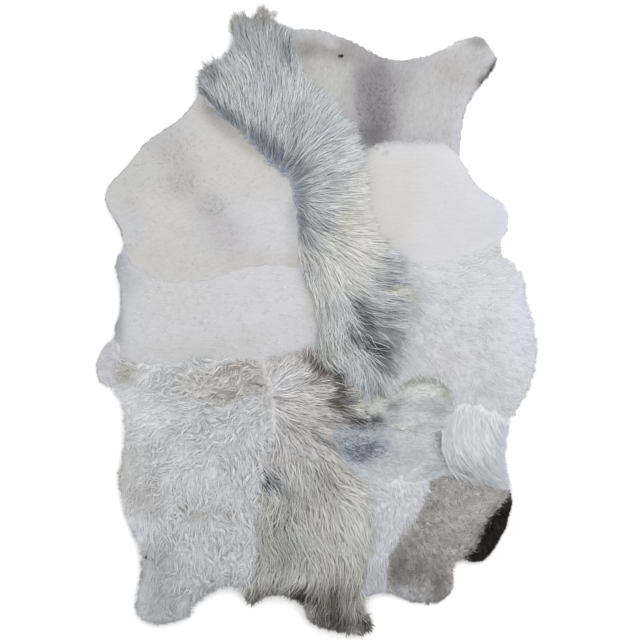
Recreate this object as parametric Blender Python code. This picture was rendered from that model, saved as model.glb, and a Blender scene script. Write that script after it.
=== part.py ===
"""Patchwork sheepskin rug, lying flat with its wool up: sixteen skins sewn edge to edge.

Each skin is one solid, a lumpy slab of hide and wool with a flat underside at z = 0. Neighbours share
one seam line and stand a seam gap apart. The outer rim carries locks of wool that rest on the floor.
+X is the rug's right, +Y its top end, +Z up. The origin is under the middle of the rug.
"""

import math
from collections import namedtuple

import bpy
import numpy as np
from mathutils import Vector, noise
from mathutils.geometry import delaunay_2d_cdt

# All sizes below are in centimetres, and become metres as the meshes are made.
CM = 0.01
RUG_MIDDLE = (0.125, 0.116)  # the middle of the whole outline, locks included
SEAM_GAP = 0.04
SEAM_STEP = 2.4
INNER_STEP = 2.7
INNER_JITTER = 0.35  # of INNER_STEP
INNER_CLEAR = 1.3  # between the inner points and the panel's edge
CURVE_STEPS = 12  # between two points of a line, before it is cut into equal steps
LOCK_WAIST = (0.55, 0.64, 0.62)  # how far along a lock, how wide and how high its middle is, as shares
LOCK_REACH_SPREAD = (0.65, 1.25)
LOCK_MOST_INWARD_TURN = math.radians(20)
COMB_SHARE = 0.55  # how far a lock turns from square towards the way its wool is combed
LOCK_LEAST_OUTWARD = 0.35  # a lock that would run along the rim stands square to it
EDGE_UNEVEN = 0.12

# Corners, where seams meet each other or the rim: name, x, y.
CORNERS = {
    "crown_left": (-33.9, 65.1),
    "crown_side": (-23.8, 79.0),
    "crown_right": (-7.7, 82.9),
    "neck_hem": (40.2, 46.7),
    "white_notch": (51.9, 23.1),
    "tress_head": (54.1, -28.2),
    "tress_foot": (54.1, -47.6),
    "black_foot": (41.3, -67.3),
    "taupe_foot": (19.7, -77.2),
    "strip_foot": (13.1, -78.4),
    "tail_left": (-22.0, -76.0),
    "flap_foot": (-57.9, -18.9),
    "flap_head": (-57.9, -4.8),
    "shoulder_notch": (-55.3, 20.8),
    "neck_root": (12.5, 48.2),
    "white_root": (23.4, 18.0),
    "spotted_head": (22.2, -18.8),
    "tress_root": (39.3, -23.7),
    "spine_tip": (12.3, -20.5),
    "spotted_left": (14.8, -28.8),
    "spotted_right": (35.1, -31.1),
    "spine_low": (-0.9, -8.5),
    "spine_middle": (-5.1, 15.1),
    "whorl_head": (-16.0, -11.4),
    "tail_root": (-16.0, -41.0),
    "tail_middle": (8.0, -40.8),
    "tail_right": (9.7, -43.6),
    "taupe_root": (31.9, -45.0),
    "taupe_head": (38.2, -43.3),
    "flap_root": (-56.7, -11.4),
}

# tuft is the depth of the tufts that lie over the seam.
Seam = namedtuple("Seam", "name first between last tuft")
SEAMS = (
    Seam("spine_neck", "crown_right",
         ((-7.1, 78.5), (-6.0, 73.0), (-2.5, 67.5), (3.5, 61.5), (8.5, 55.5)), "neck_root", 0.7),
    Seam("spine_white_upper", "neck_root",
         ((12.5, 41.5), (13.5, 34.5), (15.5, 27.5), (19.0, 21.5)), "white_root", 0.8),
    Seam("spine_white_lower", "white_root", ((25.0, 9.0), (24.2, 0.5), (23.4, -8.5)), "spotted_head", 0.8),
    Seam("spine_spotted", "spotted_head", ((17.5, -20.8),), "spine_tip", 0.8),
    Seam("brindle_spine", "spine_low", ((2.0, -12.8), (7.5, -16.8)), "spine_tip", 0.6),
    Seam("flank_spine", "spine_middle", ((-2.0, 9.5), (0.0, 1.0)), "spine_low", 0.2),
    Seam("shoulder_spine", "crown_left",
         ((-29.6, 60.0), (-22.0, 53.5), (-14.2, 45.5), (-8.3, 40.0), (-6.3, 33.0), (-5.7, 24.5)),
         "spine_middle", 0.2),
    Seam("neck_white", "neck_root",
         ((17.5, 50.0), (23.5, 51.3), (29.0, 51.3), (35.5, 50.4)), "neck_hem", 0.1),
    Seam("white_upper_lower", "white_root", ((29.0, 16.8), (37.5, 17.4), (46.0, 20.2)), "white_notch", 0.3),
    Seam("white_lower_spotted", "spotted_head",
         ((25.0, -17.4), (29.0, -16.2), (34.0, -16.5), (36.8, -19.7)), "tress_root", 0.4),
    Seam("white_lower_tress", "tress_root", ((44.5, -23.7), (49.5, -25.4)), "tress_head", 0.4),
    Seam("spotted_upper_tress", "tress_root", ((36.8, -27.0),), "spotted_right", 0.3),
    Seam("spotted_lower_tress", "spotted_right", ((35.2, -36.0),), "taupe_head", 0.3),
    Seam("spotted_seam", "spotted_left", ((22.0, -30.5), (29.0, -31.3)), "spotted_right", 0.1),
    Seam("brindle_spotted_upper", "spine_tip", ((12.5, -24.8),), "spotted_left", 0.4),
    Seam("brindle_spotted_lower", "spotted_left",
         ((9.0, -29.6), (3.0, -31.3), (4.3, -36.2)), "tail_middle", 0.4),
    Seam("beige_spotted", "tail_middle", (), "tail_right", 0.0),
    Seam("white_strip_spotted", "tail_right", ((17.5, -45.6), (25.0, -45.6)), "taupe_root", 0.1),
    Seam("taupe_spotted", "taupe_root", (), "taupe_head", 0.0),
    Seam("taupe_tress", "taupe_head", ((43.3, -44.5), (48.5, -46.7)), "tress_foot", 0.5),
    Seam("taupe_black", "tress_foot", ((51.3, -52.5), (47.6, -58.0), (45.3, -63.0)), "black_foot", 0.3),
    Seam("taupe_white", "taupe_root",
         ((29.5, -51.0), (25.5, -59.0), (20.5, -66.0), (19.5, -72.5)), "taupe_foot", 0.1),
    Seam("white_beige", "tail_right",
         ((13.7, -50.5), (15.7, -56.5), (14.8, -64.0), (12.3, -72.5)), "strip_foot", 0.5),
    Seam("beige_brindle", "tail_root", ((-11.4, -40.2), (-5.0, -38.2), (2.0, -38.8)), "tail_middle", 0.7),
    Seam("curly_beige", "tail_root", ((-16.5, -51.0), (-16.8, -62.5), (-18.0, -72.5)), "tail_left", 0.5),
    Seam("curly_brindle", "whorl_head", ((-13.7, -18.0), (-12.3, -28.0), (-12.8, -35.5)), "tail_root", 0.4),
    Seam("flank_brindle", "whorl_head", ((-9.5, -10.8), (-4.3, -8.8)), "spine_low", 0.4),
    Seam("flank_curly", "flap_root", ((-50.5, -12.3), (-39.5, -12.0), (-28.0, -10.8)), "whorl_head", 0.4),
    Seam("flap_flank", "flap_head", ((-56.1, -7.7),), "flap_root", 0.0),
    Seam("flap_curly", "flap_root", ((-57.3, -15.4),), "flap_foot", 0.0),
    Seam("shoulder_flank", "shoulder_notch",
         ((-52.0, 15.5), (-45.0, 11.5), (-32.0, 11.5), (-22.0, 14.8), (-13.7, 15.7)), "spine_middle", 0.2),
)

# The rim runs clockwise. width is a lock's at its root, reach is how far it stands out, and comb is the
# way that the wool is combed.
Rim = namedtuple("Rim", "name first between last width reach comb")
RIMS = (
    Rim("rim_crown_side", "crown_left",
        ((-33.5, 69.0), (-30.9, 72.3), (-26.6, 74.4)), "crown_side", 1.8, 0.8, (-0.6, 0.8)),
    Rim("rim_crown_top", "crown_side",
        ((-23.1, 83.8), (-21.0, 86.2), (-18.2, 84.7), (-14.6, 86.4), (-12.0, 84.2)),
        "crown_right", 1.5, 3.9, (-0.15, 1.0)),
    Rim("rim_neck", "crown_right",
        ((0.5, 82.4), (9.5, 79.3), (17.0, 75.2), (23.5, 74.0), (32.0, 75.4), (40.5, 79.4), (46.2, 80.6),
         (49.4, 76.7), (50.6, 73.8), (47.1, 68.7), (41.8, 60.8), (40.4, 53.0)),
        "neck_hem", 2.4, 0.6, (0.3, 1.0)),
    Rim("rim_white_upper", "neck_hem",
        ((43.2, 41.0), (47.6, 36.0), (52.2, 33.2), (53.8, 28.8), (53.3, 25.0)),
        "white_notch", 2.0, 1.0, (1.0, 0.2)),
    Rim("rim_white_lower", "white_notch",
        ((52.4, 18.3), (57.6, 12.5), (58.4, 6.0), (60.8, -2.6), (61.4, -9.7), (59.2, -19.0)),
        "tress_head", 1.9, 1.8, (1.0, -0.3)),
    Rim("rim_tress", "tress_head", ((52.9, -34.0), (52.6, -40.0)), "tress_foot", 1.8, 1.2, (0.9, -0.7)),
    Rim("rim_black", "tress_foot",
        ((54.7, -52.0), (52.4, -60.0), (47.9, -66.9), (44.6, -68.3)), "black_foot", 1.9, 1.1, (0.8, -0.7)),
    Rim("rim_taupe", "black_foot",
        ((38.5, -69.6), (37.5, -76.3), (34.5, -79.3), (28.5, -79.8), (23.5, -78.2)),
        "taupe_foot", 2.4, 0.6, (0.0, -1.0)),
    Rim("rim_white_strip", "taupe_foot", ((16.9, -77.1),), "strip_foot", 2.0, 0.8, (0.0, -1.0)),
    Rim("rim_beige", "strip_foot",
        ((13.1, -82.5), (14.7, -86.2), (12.8, -88.4), (5.0, -87.4), (-2.3, -84.7), (-4.1, -80.2),
         (-10.8, -77.2), (-15.5, -78.1), (-18.6, -79.9), (-20.8, -77.9)),
        "tail_left", 1.6, 1.7, (0.3, -1.0)),
    Rim("rim_curly", "tail_left",
        ((-27.4, -75.3), (-33.0, -78.4), (-36.0, -80.8), (-36.7, -83.6), (-44.5, -85.9), (-50.6, -84.0),
         (-51.4, -79.6), (-49.6, -72.2), (-50.1, -65.0), (-54.2, -55.0), (-56.0, -44.7), (-54.5, -34.0),
         (-54.6, -24.3)), "flap_foot", 2.3, 1.1, (-0.6, -0.8)),
    Rim("rim_flap", "flap_foot",
        ((-61.6, -17.4), (-62.7, -13.1), (-61.4, -8.8)), "flap_head", 2.4, 0.4, (-1.0, 0.0)),
    Rim("rim_flank", "flap_head",
        ((-56.0, 3.0), (-56.0, 10.3), (-57.3, 16.0)), "shoulder_notch", 1.9, 1.3, (-1.0, 0.1)),
    Rim("rim_shoulder", "shoulder_notch",
        ((-55.7, 25.8), (-59.4, 32.0), (-60.1, 37.2), (-55.2, 42.6), (-48.7, 50.6), (-39.5, 56.9),
         (-35.3, 61.6)),
        "crown_left", 2.6, 0.5, (-0.8, 0.5)),
)

# edge names a skin's lines clockwise, and a minus walks one backwards. pile is the height of its wool,
# at_seam and at_rim are the shares of it left there, and rise is how far in it takes to recover. lump,
# long and wide are the height and size of its lumps, and comb is the way they run, in degrees.
Skin = namedtuple("Skin", "name edge pile at_seam at_rim rise lump long wide comb colour")
SKINS = (
    Skin("spine",
         ("rim_crown_side", "rim_crown_top", "spine_neck", "spine_white_upper", "spine_white_lower",
          "spine_spotted", "-brindle_spine", "-flank_spine", "-shoulder_spine"),
         4.6, 0.55, 0.40, 3.0, 1.1, 16.0, 6.0, -35, (0.50, 0.52, 0.54)),
    Skin("neck", ("rim_neck", "-neck_white", "-spine_neck"),
         2.2, 0.62, 0.50, 2.0, 0.3, 12.0, 9.0, 80, (0.62, 0.58, 0.55)),
    Skin("shoulder", ("rim_shoulder", "shoulder_spine", "-shoulder_flank"),
         2.0, 0.70, 0.50, 2.0, 0.3, 16.0, 12.0, 20, (0.74, 0.71, 0.65)),
    Skin("flank",
         ("rim_flank", "shoulder_flank", "flank_spine", "-flank_brindle", "-flank_curly", "-flap_flank"),
         3.0, 0.66, 0.45, 2.5, 0.6, 10.0, 7.0, 175, (0.80, 0.78, 0.75)),
    Skin("flap", ("rim_flap", "flap_flank", "flap_curly"),
         1.4, 0.70, 0.60, 1.5, 0.1, 8.0, 6.0, 180, (0.66, 0.63, 0.64)),
    Skin("white_upper", ("rim_white_upper", "-white_upper_lower", "-spine_white_upper", "neck_white"),
         2.6, 0.66, 0.50, 2.5, 0.4, 14.0, 10.0, -10, (0.84, 0.82, 0.78)),
    Skin("white_lower",
         ("rim_white_lower", "-white_lower_tress", "-white_lower_spotted", "-spine_white_lower",
          "white_upper_lower"),
         3.4, 0.64, 0.42, 3.0, 0.7, 9.0, 7.0, -25, (0.84, 0.82, 0.80)),
    Skin("tress",
         ("rim_tress", "-taupe_tress", "-spotted_lower_tress", "-spotted_upper_tress", "white_lower_tress"),
         3.8, 0.62, 0.45, 2.5, 0.8, 12.0, 5.0, -100, (0.84, 0.84, 0.82)),
    Skin("spotted_upper",
         ("white_lower_spotted", "spotted_upper_tress", "-spotted_seam", "-brindle_spotted_upper",
          "-spine_spotted"),
         2.2, 0.66, 0.60, 2.0, 0.3, 8.0, 6.0, -5, (0.66, 0.69, 0.65)),
    Skin("spotted_lower",
         ("spotted_seam", "spotted_lower_tress", "-taupe_spotted", "-white_strip_spotted", "-beige_spotted",
          "-brindle_spotted_lower"),
         2.4, 0.66, 0.60, 2.0, 0.3, 8.0, 6.0, -5, (0.56, 0.60, 0.60)),
    Skin("taupe", ("taupe_spotted", "taupe_tress", "taupe_black", "rim_taupe", "-taupe_white"),
         1.8, 0.70, 0.60, 1.8, 0.2, 12.0, 8.0, -60, (0.42, 0.37, 0.34)),
    Skin("black_edge", ("rim_black", "-taupe_black"),
         3.0, 0.55, 0.45, 1.5, 0.4, 8.0, 5.0, -45, (0.035, 0.03, 0.03)),
    Skin("white_strip", ("white_strip_spotted", "taupe_white", "rim_white_strip", "-white_beige"),
         2.2, 0.68, 0.60, 2.0, 0.3, 12.0, 7.0, -100, (0.80, 0.80, 0.78)),
    Skin("beige_tail", ("beige_brindle", "beige_spotted", "white_beige", "rim_beige", "-curly_beige"),
         4.4, 0.60, 0.40, 3.0, 1.0, 18.0, 6.0, -90, (0.60, 0.55, 0.47)),
    Skin("brindle",
         ("brindle_spine", "brindle_spotted_upper", "brindle_spotted_lower", "-beige_brindle",
          "-curly_brindle", "flank_brindle"),
         4.0, 0.62, 0.50, 2.5, 0.9, 14.0, 6.0, -25, (0.56, 0.50, 0.44)),
    Skin("curly", ("flank_curly", "curly_brindle", "curly_beige", "rim_curly", "-flap_curly"),
         3.6, 0.64, 0.42, 2.5, 0.9, 8.0, 6.0, -80, (0.74, 0.72, 0.67)),
)


def smooth_line(points, step):
    """Cuts the smooth curve through the points into equal steps, with both ends kept."""
    p = np.array(points, float)
    before = np.vstack([2 * p[0] - p[1], p[:-1]])
    after = np.vstack([p[1:], 2 * p[-1] - p[-2]])
    slope = (after - before) / 2
    t = (np.arange(CURVE_STEPS) / CURVE_STEPS)[:, None, None]
    a, b, sa, sb = p[:-1], p[1:], slope[:-1], slope[1:]
    curve = (2 * t**3 - 3 * t**2 + 1) * a + (3 * t**2 - 2 * t**3) * b
    curve += (t**3 - 2 * t**2 + t) * sa + (t**3 - t**2) * sb
    curve = np.vstack([curve.transpose(1, 0, 2).reshape(-1, 2), p[-1:]])
    along = np.concatenate([[0], np.cumsum(np.linalg.norm(np.diff(curve, axis=0), axis=1))])
    cuts = np.linspace(0, along[-1], max(2, round(along[-1] / step)) + 1)
    return np.stack([np.interp(cuts, along, curve[:, k]) for k in range(2)], axis=1)


def square_to(line):
    """Unit directions at right angles to a line at each of its points, on its left side."""
    run = np.gradient(line, axis=0)
    run /= np.linalg.norm(run, axis=1)[:, None]
    return np.stack([-run[:, 1], run[:, 0]], axis=1)


def make_lines():
    """{line name: its points}, seams and rims, with tufts worked as a zigzag of the seam."""
    lines = {}
    for seam in SEAMS:
        line = smooth_line((CORNERS[seam.first], *seam.between, CORNERS[seam.last]), SEAM_STEP)
        side = np.where(np.arange(len(line)) % 2, 1.0, -1.0)
        side[[0, -1]] = 0
        lines[seam.name] = line + square_to(line) * (side * seam.tuft)[:, None]
    for rim in RIMS:
        lines[rim.name] = smooth_line((CORNERS[rim.first], *rim.between, CORNERS[rim.last]), rim.width)
    return lines


def panel_edge(loop, lines):
    """The panel's edge anticlockwise, and for each of its sides the rim it lies on, or None."""
    rims = {rim.name: rim for rim in RIMS}
    points, sides = [], []
    for name in loop:
        line = lines[name.lstrip("-")]
        line = line[::-1] if name.startswith("-") else line
        points += list(line[:-1])
        sides += [rims.get(name)] * (len(line) - 1)
    return np.array(points)[::-1], sides[-2::-1] + sides[-1:]


def inset(edge, by):
    """Moves a closed anticlockwise edge inwards by the same width all round, with mitred corners."""
    run = np.roll(edge, -1, axis=0) - edge
    run /= np.linalg.norm(run, axis=1)[:, None]
    left = np.stack([-run[:, 1], run[:, 0]], axis=1)
    back = np.roll(left, 1, axis=0)
    return edge + by * (left + back) / (1 + (left * back).sum(1))[:, None]


def distance_to(edge, points):
    """Distance from each point to the nearest side of a closed edge, and that side's number."""
    a, b = edge, np.roll(edge, -1, axis=0)
    run = b - a
    t = ((points[:, None] - a) * run).sum(2) / (run**2).sum(1)
    foot = a + np.clip(t, 0, 1)[:, :, None] * run
    gap = np.linalg.norm(points[:, None] - foot, axis=2)
    return gap.min(1), gap.argmin(1)


def inside(edge, points):
    """True for each point within a closed edge, by how often a line to its right crosses the edge."""
    a, b = edge, np.roll(edge, -1, axis=0)
    x, y = points[:, 0, None], points[:, 1, None]
    spans = (a[:, 1] > y) != (b[:, 1] > y)
    rise = np.where(a[:, 1] == b[:, 1], 1, b[:, 1] - a[:, 1])
    cross = a[:, 0] + (y - a[:, 1]) * (b[:, 0] - a[:, 0]) / rise
    return (spans & (x < cross)).sum(1) % 2 == 1


def inner_points(edge, rng):
    """A jittered triangular lattice of points inside the edge, clear of it."""
    low, high = edge.min(0), edge.max(0)
    rows = np.arange(low[1], high[1], INNER_STEP * math.sqrt(3) / 2)
    columns = np.arange(low[0], high[0], INNER_STEP)
    x, y = np.meshgrid(columns, rows)
    x = x + (np.arange(len(rows)) % 2)[:, None] * INNER_STEP / 2
    points = np.stack([x.ravel(), y.ravel()], axis=1)
    points += rng.uniform(-INNER_JITTER, INNER_JITTER, points.shape) * INNER_STEP
    points = points[inside(edge, points)]
    return points[distance_to(edge, points)[0] > INNER_CLEAR]


def lumps(points, length, width, angle):
    """Lumps of wool from -1 to 1: noise drawn out along the way that the pile is combed."""
    turn = math.radians(angle)
    along = points @ (math.cos(turn), math.sin(turn)) / length
    across = points @ (-math.sin(turn), math.cos(turn)) / width
    return np.array([noise.noise(Vector((a, b, length))) for a, b in zip(along, across)]) * 2


def cut_into_triangles(points, edge_count):
    """Triangles between the points, within the closed edge that the first edge_count of them make."""
    sides = [(i, (i + 1) % edge_count) for i in range(edge_count)]
    flat = [Vector((float(x), float(y))) for x, y in points]
    found = delaunay_2d_cdt(flat, sides, [], 1, 1e-6)
    assert len(found[0]) == len(points), "a panel's edge crosses itself"
    return [tuple(face) for face in found[2]]


def add_lock(points, faces, i, j, count, rim, rng):
    """Draws the wall between edge points i and j out into a four-sided lock, flat on the floor."""
    (x0, y0, top0), (x1, y1, top1) = points[i], points[j]
    out = np.array([y1 - y0, x0 - x1])
    out /= np.linalg.norm(out)
    way = out * (1 - COMB_SHARE) + np.array(rim.comb) / np.linalg.norm(rim.comb) * COMB_SHARE
    way = way / np.linalg.norm(way) if way @ out > LOCK_LEAST_OUTWARD else out
    far = rim.reach * rng.uniform(*LOCK_REACH_SPREAD)
    middle = np.array([(x0 + x1) / 2, (y0 + y1) / 2])
    side = np.array([x1 - x0, y1 - y0]) / 2 * LOCK_WAIST[1]
    waist = middle + way * far * LOCK_WAIST[0]
    tall = (top0 + top1) / 2 * LOCK_WAIST[2]
    first = len(points)
    points += [
        (*(waist - side), 0.0),
        (*(waist + side), 0.0),
        (*(waist + side), tall),
        (*(waist - side), tall),
        (*(middle + way * far), 0.0),
    ]
    root = (count + i, count + j, j, i)
    for k in range(4):
        m = (k + 1) % 4
        faces.append((root[k], root[m], first + m, first + k))
        faces.append((first + k, first + m, first + 4))


def make_skin(skin, lines, seed):
    """One skin: a slab with a flat underside, whose top rises from its edge to its lumpy pile."""
    rng = np.random.default_rng(seed)
    edge, sides = panel_edge(skin.edge, lines)
    edge = inset(edge, SEAM_GAP / 2)
    count = len(edge)
    inner = inner_points(edge, rng)
    flat = np.vstack([edge, inner])
    on_rim = np.array([side is not None for side in sides])
    gap, nearest = distance_to(edge, inner)
    share = np.where(on_rim[nearest], skin.at_rim, skin.at_seam)
    high = skin.pile * (1 - (1 - share) * np.exp(-gap / skin.rise))
    high += skin.lump * lumps(inner, skin.long, skin.wide, skin.comb) / 2
    by_rim = on_rim | np.roll(on_rim, 1)
    low = skin.pile * np.where(by_rim, skin.at_rim, skin.at_seam)
    low *= 1 + rng.uniform(-EDGE_UNEVEN, EDGE_UNEVEN, count)
    tops = np.concatenate([low, high])
    points = [(x, y, z) for (x, y), z in zip(flat, tops)]
    faces = cut_into_triangles(flat, count)
    # The underside's edge points are count to 2 * count - 1 once the inner points move after them.
    points = points[:count] + [(x, y, 0.0) for x, y in edge] + points[count:]
    faces = [tuple(v if v < count else v + count for v in face) for face in faces]
    under = cut_into_triangles(edge, count)
    faces += [tuple(count + v for v in face[::-1]) for face in under]
    for i in range(count):
        j = (i + 1) % count
        before, after = edge[i] - edge[i - 1], edge[(j + 1) % count] - edge[j]
        here = edge[j] - edge[i]
        turns = [
            math.atan2(u[0] * v[1] - u[1] * v[0], u @ v) for u, v in ((before, here), (here, after))
        ]
        plain = sides[i] is None or sides[i - 1] is None or sides[j] is None
        if plain or min(turns) < -LOCK_MOST_INWARD_TURN:
            faces.append((count + i, count + j, j, i))
        else:
            add_lock(points, faces, i, j, count, sides[i], rng)
    placed = (np.array(points) - (*RUG_MIDDLE, 0)) * CM
    mesh = bpy.data.meshes.new(skin.name)
    mesh.from_pydata(placed.tolist(), [], faces)
    mesh.materials.append(wool_material(skin.name, skin.colour))
    mesh.update()
    bpy.context.scene.collection.objects.link(bpy.data.objects.new(skin.name, mesh))


def wool_material(name, colour):
    """Plain matt wool in the skin's main colour."""
    material = bpy.data.materials.new(name + "_wool")
    material.use_nodes = True
    shader = material.node_tree.nodes["Principled BSDF"]
    shader.inputs["Base Color"].default_value = (*colour, 1.0)
    shader.inputs["Roughness"].default_value = 0.9
    shader.inputs["Metallic"].default_value = 0.0
    material.diffuse_color = (*colour, 1.0)
    return material


for old in list(bpy.data.objects):
    bpy.data.objects.remove(old)
all_lines = make_lines()
for number, skin in enumerate(SKINS):
    make_skin(skin, all_lines, number)
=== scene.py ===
"""Looks of the patchwork sheepskin rug: sixteen dressed skins, sewn edge to edge and lying wool side up."""

import math

import bpy
import numpy as np
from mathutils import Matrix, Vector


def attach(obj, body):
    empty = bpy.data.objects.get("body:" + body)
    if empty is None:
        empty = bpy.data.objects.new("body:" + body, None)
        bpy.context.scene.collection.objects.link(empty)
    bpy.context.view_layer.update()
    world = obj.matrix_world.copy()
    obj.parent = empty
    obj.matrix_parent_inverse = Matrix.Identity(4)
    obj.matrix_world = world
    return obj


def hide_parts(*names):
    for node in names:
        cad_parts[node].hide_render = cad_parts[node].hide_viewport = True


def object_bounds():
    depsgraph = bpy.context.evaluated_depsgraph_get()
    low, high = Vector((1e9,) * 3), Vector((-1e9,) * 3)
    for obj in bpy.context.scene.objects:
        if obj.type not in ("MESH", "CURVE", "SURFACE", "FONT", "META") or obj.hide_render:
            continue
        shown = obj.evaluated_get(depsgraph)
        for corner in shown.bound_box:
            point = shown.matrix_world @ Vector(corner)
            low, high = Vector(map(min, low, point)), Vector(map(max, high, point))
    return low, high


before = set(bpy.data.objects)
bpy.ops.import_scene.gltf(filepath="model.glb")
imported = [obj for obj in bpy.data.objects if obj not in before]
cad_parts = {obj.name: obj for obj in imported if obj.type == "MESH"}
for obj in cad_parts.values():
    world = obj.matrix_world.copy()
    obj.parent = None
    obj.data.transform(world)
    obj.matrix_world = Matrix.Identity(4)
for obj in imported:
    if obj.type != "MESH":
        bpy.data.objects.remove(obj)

cad_low, cad_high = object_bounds()

# The hides. Every skin's back is tanned suede about 2 mm thick, cut to the skin's outline. They are
# sewn edge to edge from behind with a whip stitch, and lie flat on the floor.
CM = 0.01
HIDE_THICK = 0.0019
WELD = 2e-5  # the CAD mesh's loose corners are joined within this


def unit(vectors, least=1e-12):
    """The vectors, each made one long."""
    return vectors / np.maximum(np.linalg.norm(vectors, axis=-1, keepdims=True), least)


def cad_surface(node):
    """A CAD node's points and triangles, with the loose corners that share a place joined into one."""
    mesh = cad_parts[node].data
    places = np.empty(len(mesh.vertices) * 3, np.float32)
    mesh.vertices.foreach_get("co", places)
    places = places.reshape(-1, 3).astype(float)
    corners = np.empty(len(mesh.loops), np.int32)
    mesh.loops.foreach_get("vertex_index", corners)
    cell = np.round(places / WELD).astype(int)
    first, same = np.unique(cell, axis=0, return_index=True, return_inverse=True)[1:]
    faces = same.reshape(-1)[corners].reshape(-1, 3)
    whole = (faces != np.roll(faces, 1, axis=1)).all(axis=1)
    return places[first], faces[whole]


def sides_of(faces):
    """The sides of triangles, each as the two points it runs between."""
    return faces[:, [0, 1, 1, 2, 2, 0]].reshape(-1, 2)


def open_sides(faces, count):
    """The sides that no other face shares, in a surface of so many points: where they start and end."""
    sides = sides_of(faces)
    return sides[~np.isin(sides @ (count, 1), sides @ (1, count))].T


def walls_over(a, b, top_a, top_b):
    """Two triangles over each open side from a to b, up to the points that stand over its ends."""
    return np.concatenate([np.stack([b, a, top_a], axis=1), np.stack([b, top_a, top_b], axis=1)])


def above(points, under):
    """For each point numbered in under, the highest point that stands over the same spot of the floor."""
    spot = np.round(points[:, :2] / WELD / 4).astype(int)
    same = np.unique(spot, axis=0, return_inverse=True)[1].reshape(-1)
    order = np.argsort(points[:, 2])
    highest = np.empty(same.max() + 1, int)
    highest[same[order]] = order
    return highest[same[under]]


def trim_locks(points, faces):
    """Cuts the rim's locks off and walls up the openings, so that hair can grow there in their place.

    A lock ends in a point on the floor that touches four others and has nothing above it. The faces
    round that point and its neighbours are the lock. Returns the rest, and the new walls' faces.
    """
    edges = np.unique(np.sort(sides_of(faces), axis=1), axis=0)
    touching = np.bincount(edges.ravel(), minlength=len(points))
    everyone = np.arange(len(points))
    on_floor = points[:, 2] < WELD
    tip = on_floor & (touching == 4) & (above(points, everyone) == everyone)
    lock = tip.copy()
    lock[edges[tip[edges].any(axis=1)].ravel()] = True
    kept = faces[~lock[faces].any(axis=1)]
    a, b = open_sides(kept, len(points))
    low = on_floor[a] & on_floor[b]
    a, b = a[low], b[low]
    return kept, walls_over(a, b, above(points, a), above(points, b))


def make_piece(name, points, faces, dye=None, facing=None, in_plan=True):
    """A mesh object of triangles. dye is a colour for each point, painted shade included, and facing a
    normal for each point.

    in_plan adds a UV map that shows the piece from above: u runs across its box, and v up it.
    """
    mesh = bpy.data.meshes.new(name)
    mesh.vertices.add(len(points))
    mesh.vertices.foreach_set("co", points.astype(np.float32).ravel())
    mesh.loops.add(faces.size)
    mesh.loops.foreach_set("vertex_index", faces.astype(np.int32).ravel())
    mesh.polygons.add(len(faces))
    mesh.polygons.foreach_set("loop_start", np.arange(0, faces.size, 3, dtype=np.int32))
    mesh.update(calc_edges=True)
    if dye is not None:
        colours = np.column_stack([dye, np.ones(len(dye))])
        stored = mesh.color_attributes.new("dye", "FLOAT_COLOR", "POINT")
        stored.data.foreach_set("color", colours.astype(np.float32).ravel())
    if in_plan:
        corner = points[faces.ravel(), :2]
        low = corner.min(axis=0)
        plan = (corner - low) / (corner.max(axis=0) - low).max()
        mesh.uv_layers.new(name="OFBake").data.foreach_set("uv", plan.astype(np.float32).ravel())
    if facing is not None:
        mesh.normals_split_custom_set_from_vertices(facing.tolist())
    piece = bpy.data.objects.new(name, mesh)
    bpy.context.scene.collection.objects.link(piece)
    return piece


def add_piece(piece, skin, finish):
    """Gives a skin's piece its finish, and tells the frame what it is part of."""
    piece.data.materials.append(finish)
    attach(piece, "root")
    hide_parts(skin)
    return piece


def one_side(points, faces):
    """Drops the points that no face uses, and numbers the faces' corners anew."""
    used, corners = np.unique(faces, return_inverse=True)
    return points[used], corners.reshape(-1, 3)


def thick_sheet(points, faces, high):
    """A flat panel of faces that look down, closed into a sheet that lies on the floor and is so high.

    The upper side is the lower one turned over, and each open edge gets a wall of two triangles.
    """
    points, faces = one_side(points, faces)
    count = len(points)
    a, b = open_sides(faces, count)
    both = np.concatenate([np.column_stack([points[:, :2], np.full(count, z)]) for z in (0.0, high)])
    return both, np.concatenate([faces, faces[:, ::-1] + count, walls_over(a, b, a + count, b + count)])


def panel_area(points, faces):
    """Half the sum of the cross products of the faces' sides, as seen from above."""
    a, b, c = points[faces][:, :, :2].transpose(1, 0, 2)
    return abs(np.cross(b - a, c - a)).sum() / 2


def new_material(name, roughness, sheen=0.0, specular=0.3):
    """A material's nodes, links and shader, with the values that are the same all over it."""
    material = bpy.data.materials.new(name)
    material.use_nodes = True
    nodes, links = material.node_tree.nodes, material.node_tree.links
    shader = nodes["Principled BSDF"]
    shader.inputs["Roughness"].default_value = roughness
    shader.inputs["Sheen Weight"].default_value = sheen
    shader.inputs["Sheen Roughness"].default_value = 0.5
    shader.inputs["Specular IOR Level"].default_value = specular
    return material, nodes, links, shader


def noise_nodes(nodes, links, scale, detail, stretch=(1, 1, 1), turn=0.0):
    """Noise on the piece's own place on the rug, stretched along an axis that is turned in plan."""
    place = nodes.new("ShaderNodeTexCoord")
    mapping = nodes.new("ShaderNodeMapping")
    mapping.vector_type = "TEXTURE"
    mapping.inputs["Rotation"].default_value = (0, 0, math.radians(turn))
    mapping.inputs["Scale"].default_value = stretch
    noise = nodes.new("ShaderNodeTexNoise")
    noise.inputs["Scale"].default_value = scale
    noise.inputs["Detail"].default_value = detail
    links.new(place.outputs["Object"], mapping.inputs["Vector"])
    links.new(mapping.outputs["Vector"], noise.inputs["Vector"])
    return noise.outputs["Fac"]


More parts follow.
